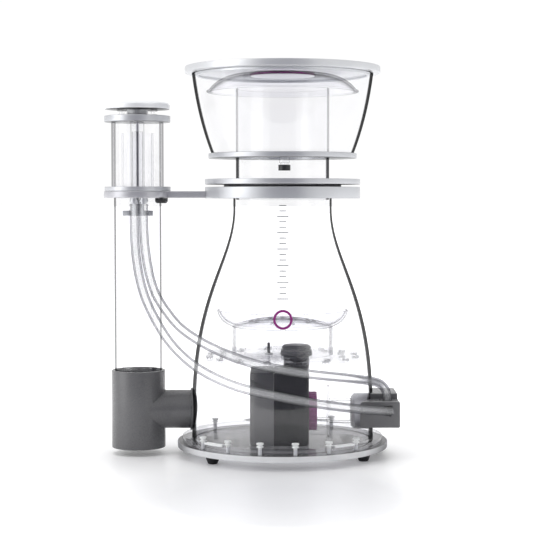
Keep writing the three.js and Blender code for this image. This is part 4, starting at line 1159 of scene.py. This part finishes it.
def add_silencer():
    wall = tube(34.8, 31.6, SILENCER_BOTTOM, SILENCER_TOP)
    cylinder = turned("clear_silencer", wall, COLUMN_AXIS, LARGE, 0.3)
    stand_for(cylinder, "silencer_cylinder", "clear_thin")
    sleeve = turned("clear_sleeve", tube(21.4, 19.4, SILENCER_BOTTOM, 430), COLUMN_AXIS, MEDIUM, 0.3)
    stand_for(sleeve, "silencer_sleeve", "clear_sleeve")
    guide_outline = [
        (7.2, SILENCER_BOTTOM), (9.1, SILENCER_BOTTOM), (9.1, SILENCER_TOP), (ROD_CLEARANCE, SILENCER_TOP),
        (ROD_CLEARANCE, 432), (7.2, 432),
    ]
    guide = turned("clear_guide", guide_outline, COLUMN_AXIS, SMALL, 0.3)
    stand_for(guide, "rod_guide", "clear_thin")
    line_faces(guide, "satin_dark", lambda centre, normal: centre.z > 432.5 * MM)
    cap = turned("grey_silencer_cap", tube(44, ROD_CLEARANCE, 444.6, 453), COLUMN_AXIS, LARGE, 1.0)
    holes = []
    for index in range(6):
        turn = math.pi * index / 3
        holes.append(hole(2.5, 443, 454, (COLUMN_X + 17 * math.cos(turn), 17 * math.sin(turn))))
    carve(cap, *holes)
    stand_for(cap, "silencer_cap")
    vent = turned("clear_vent_ring", tube(27, 20, 453.3, 454.9), COLUMN_AXIS, MEDIUM, 0.3)
    parts = [turned("rail", tube(27, 20, 459.6, 461.2), COLUMN_AXIS, MEDIUM, 0.3)]
    for index in range(6):
        turn = 2 * math.pi * (index + 0.5) / 6
        centre = (COLUMN_X + 23.5 * math.cos(turn), 23.5 * math.sin(turn))
        parts.append(turned("post", rod(2.5, 453.8, 460.7), centre, SMALL, 0.2))
    fuse(vent, *parts)
    stand_for(vent, "vent_ring", "clear_thin")


# ---- Scale on the body ----

def body_radius(height):
    curve = bezier(BODY_CURVE, 60)
    for (radius, low), (other, high) in zip(curve, curve[1:]):
        if low <= height <= high:
            return radius + (other - radius) * (height - low) / (high - low)
    return BODY_CURVE[-1][0]


# A thin printed patch on the body's front, between two heights, over a width along the wall.
def printed_mark(name, low, high, width, rows=2, columns=8):
    points, faces = [], []
    for lift in (0.05, 0.2):
        for row in range(rows + 1):
            height = low + (high - low) * row / rows
            radius = body_radius(height) + lift
            for column in range(columns + 1):
                angle = width * (column / columns - 0.5) / radius - math.pi / 2
                points.append((BODY_X + radius * math.cos(angle), radius * math.sin(angle), height))
    layer = (rows + 1) * (columns + 1)
    for row in range(rows):
        for column in range(columns):
            corner = row * (columns + 1) + column
            quad = (corner, corner + 1, corner + columns + 2, corner + columns + 1)
            faces.append(tuple(reversed(quad)))
            faces.append(tuple(layer + point for point in quad))
    edge = list(range(columns + 1))
    edge += [row * (columns + 1) + columns for row in range(1, rows + 1)]
    edge += [rows * (columns + 1) + column for column in range(columns - 1, -1, -1)]
    edge += [row * (columns + 1) for row in range(rows - 1, 0, -1)]
    for first, second in zip(edge, edge[1:] + edge[:1]):
        faces.append((first, second, layer + second, layer + first))
    return mesh_object(name, points, faces)


def printed_ring(name, height, outer, inner, steps=64):
    points, faces = [], []
    for step in range(steps):
        turn = 2 * math.pi * step / steps
        for reach, lift in ((inner, 0.05), (outer, 0.05), (outer, 0.2), (inner, 0.2)):
            level = height + reach * math.sin(turn)
            radius = body_radius(level) + lift
            angle = reach * math.cos(turn) / radius - math.pi / 2
            points.append((BODY_X + radius * math.cos(angle), radius * math.sin(angle), level))
    for step in range(steps):
        low, high = 4 * step, 4 * ((step + 1) % steps)
        for corner in range(4):
            other = (corner + 1) % 4
            faces.append((low + corner, low + other, high + other, high + corner))
    return mesh_object(name, points, faces)


TICKS, TICK_STEP, FIRST_TICK = 18, 7.0, 215.0
TICK_HALF_HEIGHT = 0.6
LONG_TICK, SHORT_TICK = 15.0, 9.0
LEVEL_RING_HEIGHT = 189.0


def add_scale():
    ticks = []
    for index in range(TICKS):
        height = FIRST_TICK + TICK_STEP * index
        width = LONG_TICK if index % 3 == 0 else SHORT_TICK
        ticks.append(printed_mark("tick", height - TICK_HALF_HEIGHT, height + TICK_HALF_HEIGHT, width))
    extra(joined("printed_scale", ticks), "root", "satin_acrylic", "grey_print")
    extra(printed_ring("level_ring", LEVEL_RING_HEIGHT, 12.4, 9.4), "root", "magenta_plastic")


add_camera()
add_world()
add_light("top_light", (0.1, 0.1, 2.3), (0, 0, 0.1), 2.6, 2.6, 34, mirrored=False)
add_light("left_light", (-2.0, -0.9, 1.0), (0, 0, 0.25), 1.4, 2.2, 16)
add_floor()
add_hoses()
add_base()
add_body()
add_cup()
add_lid()
add_diffuser()
add_pump()
add_intake()
add_air_block()
add_outlet()
add_overflow()
add_bracket()
add_silencer()
add_scale()

bpy.context.scene.view_settings.view_transform = "Standard"
bpy.context.scene.cycles.transparent_max_bounces = 48
bpy.context.scene.cycles.max_bounces = 16
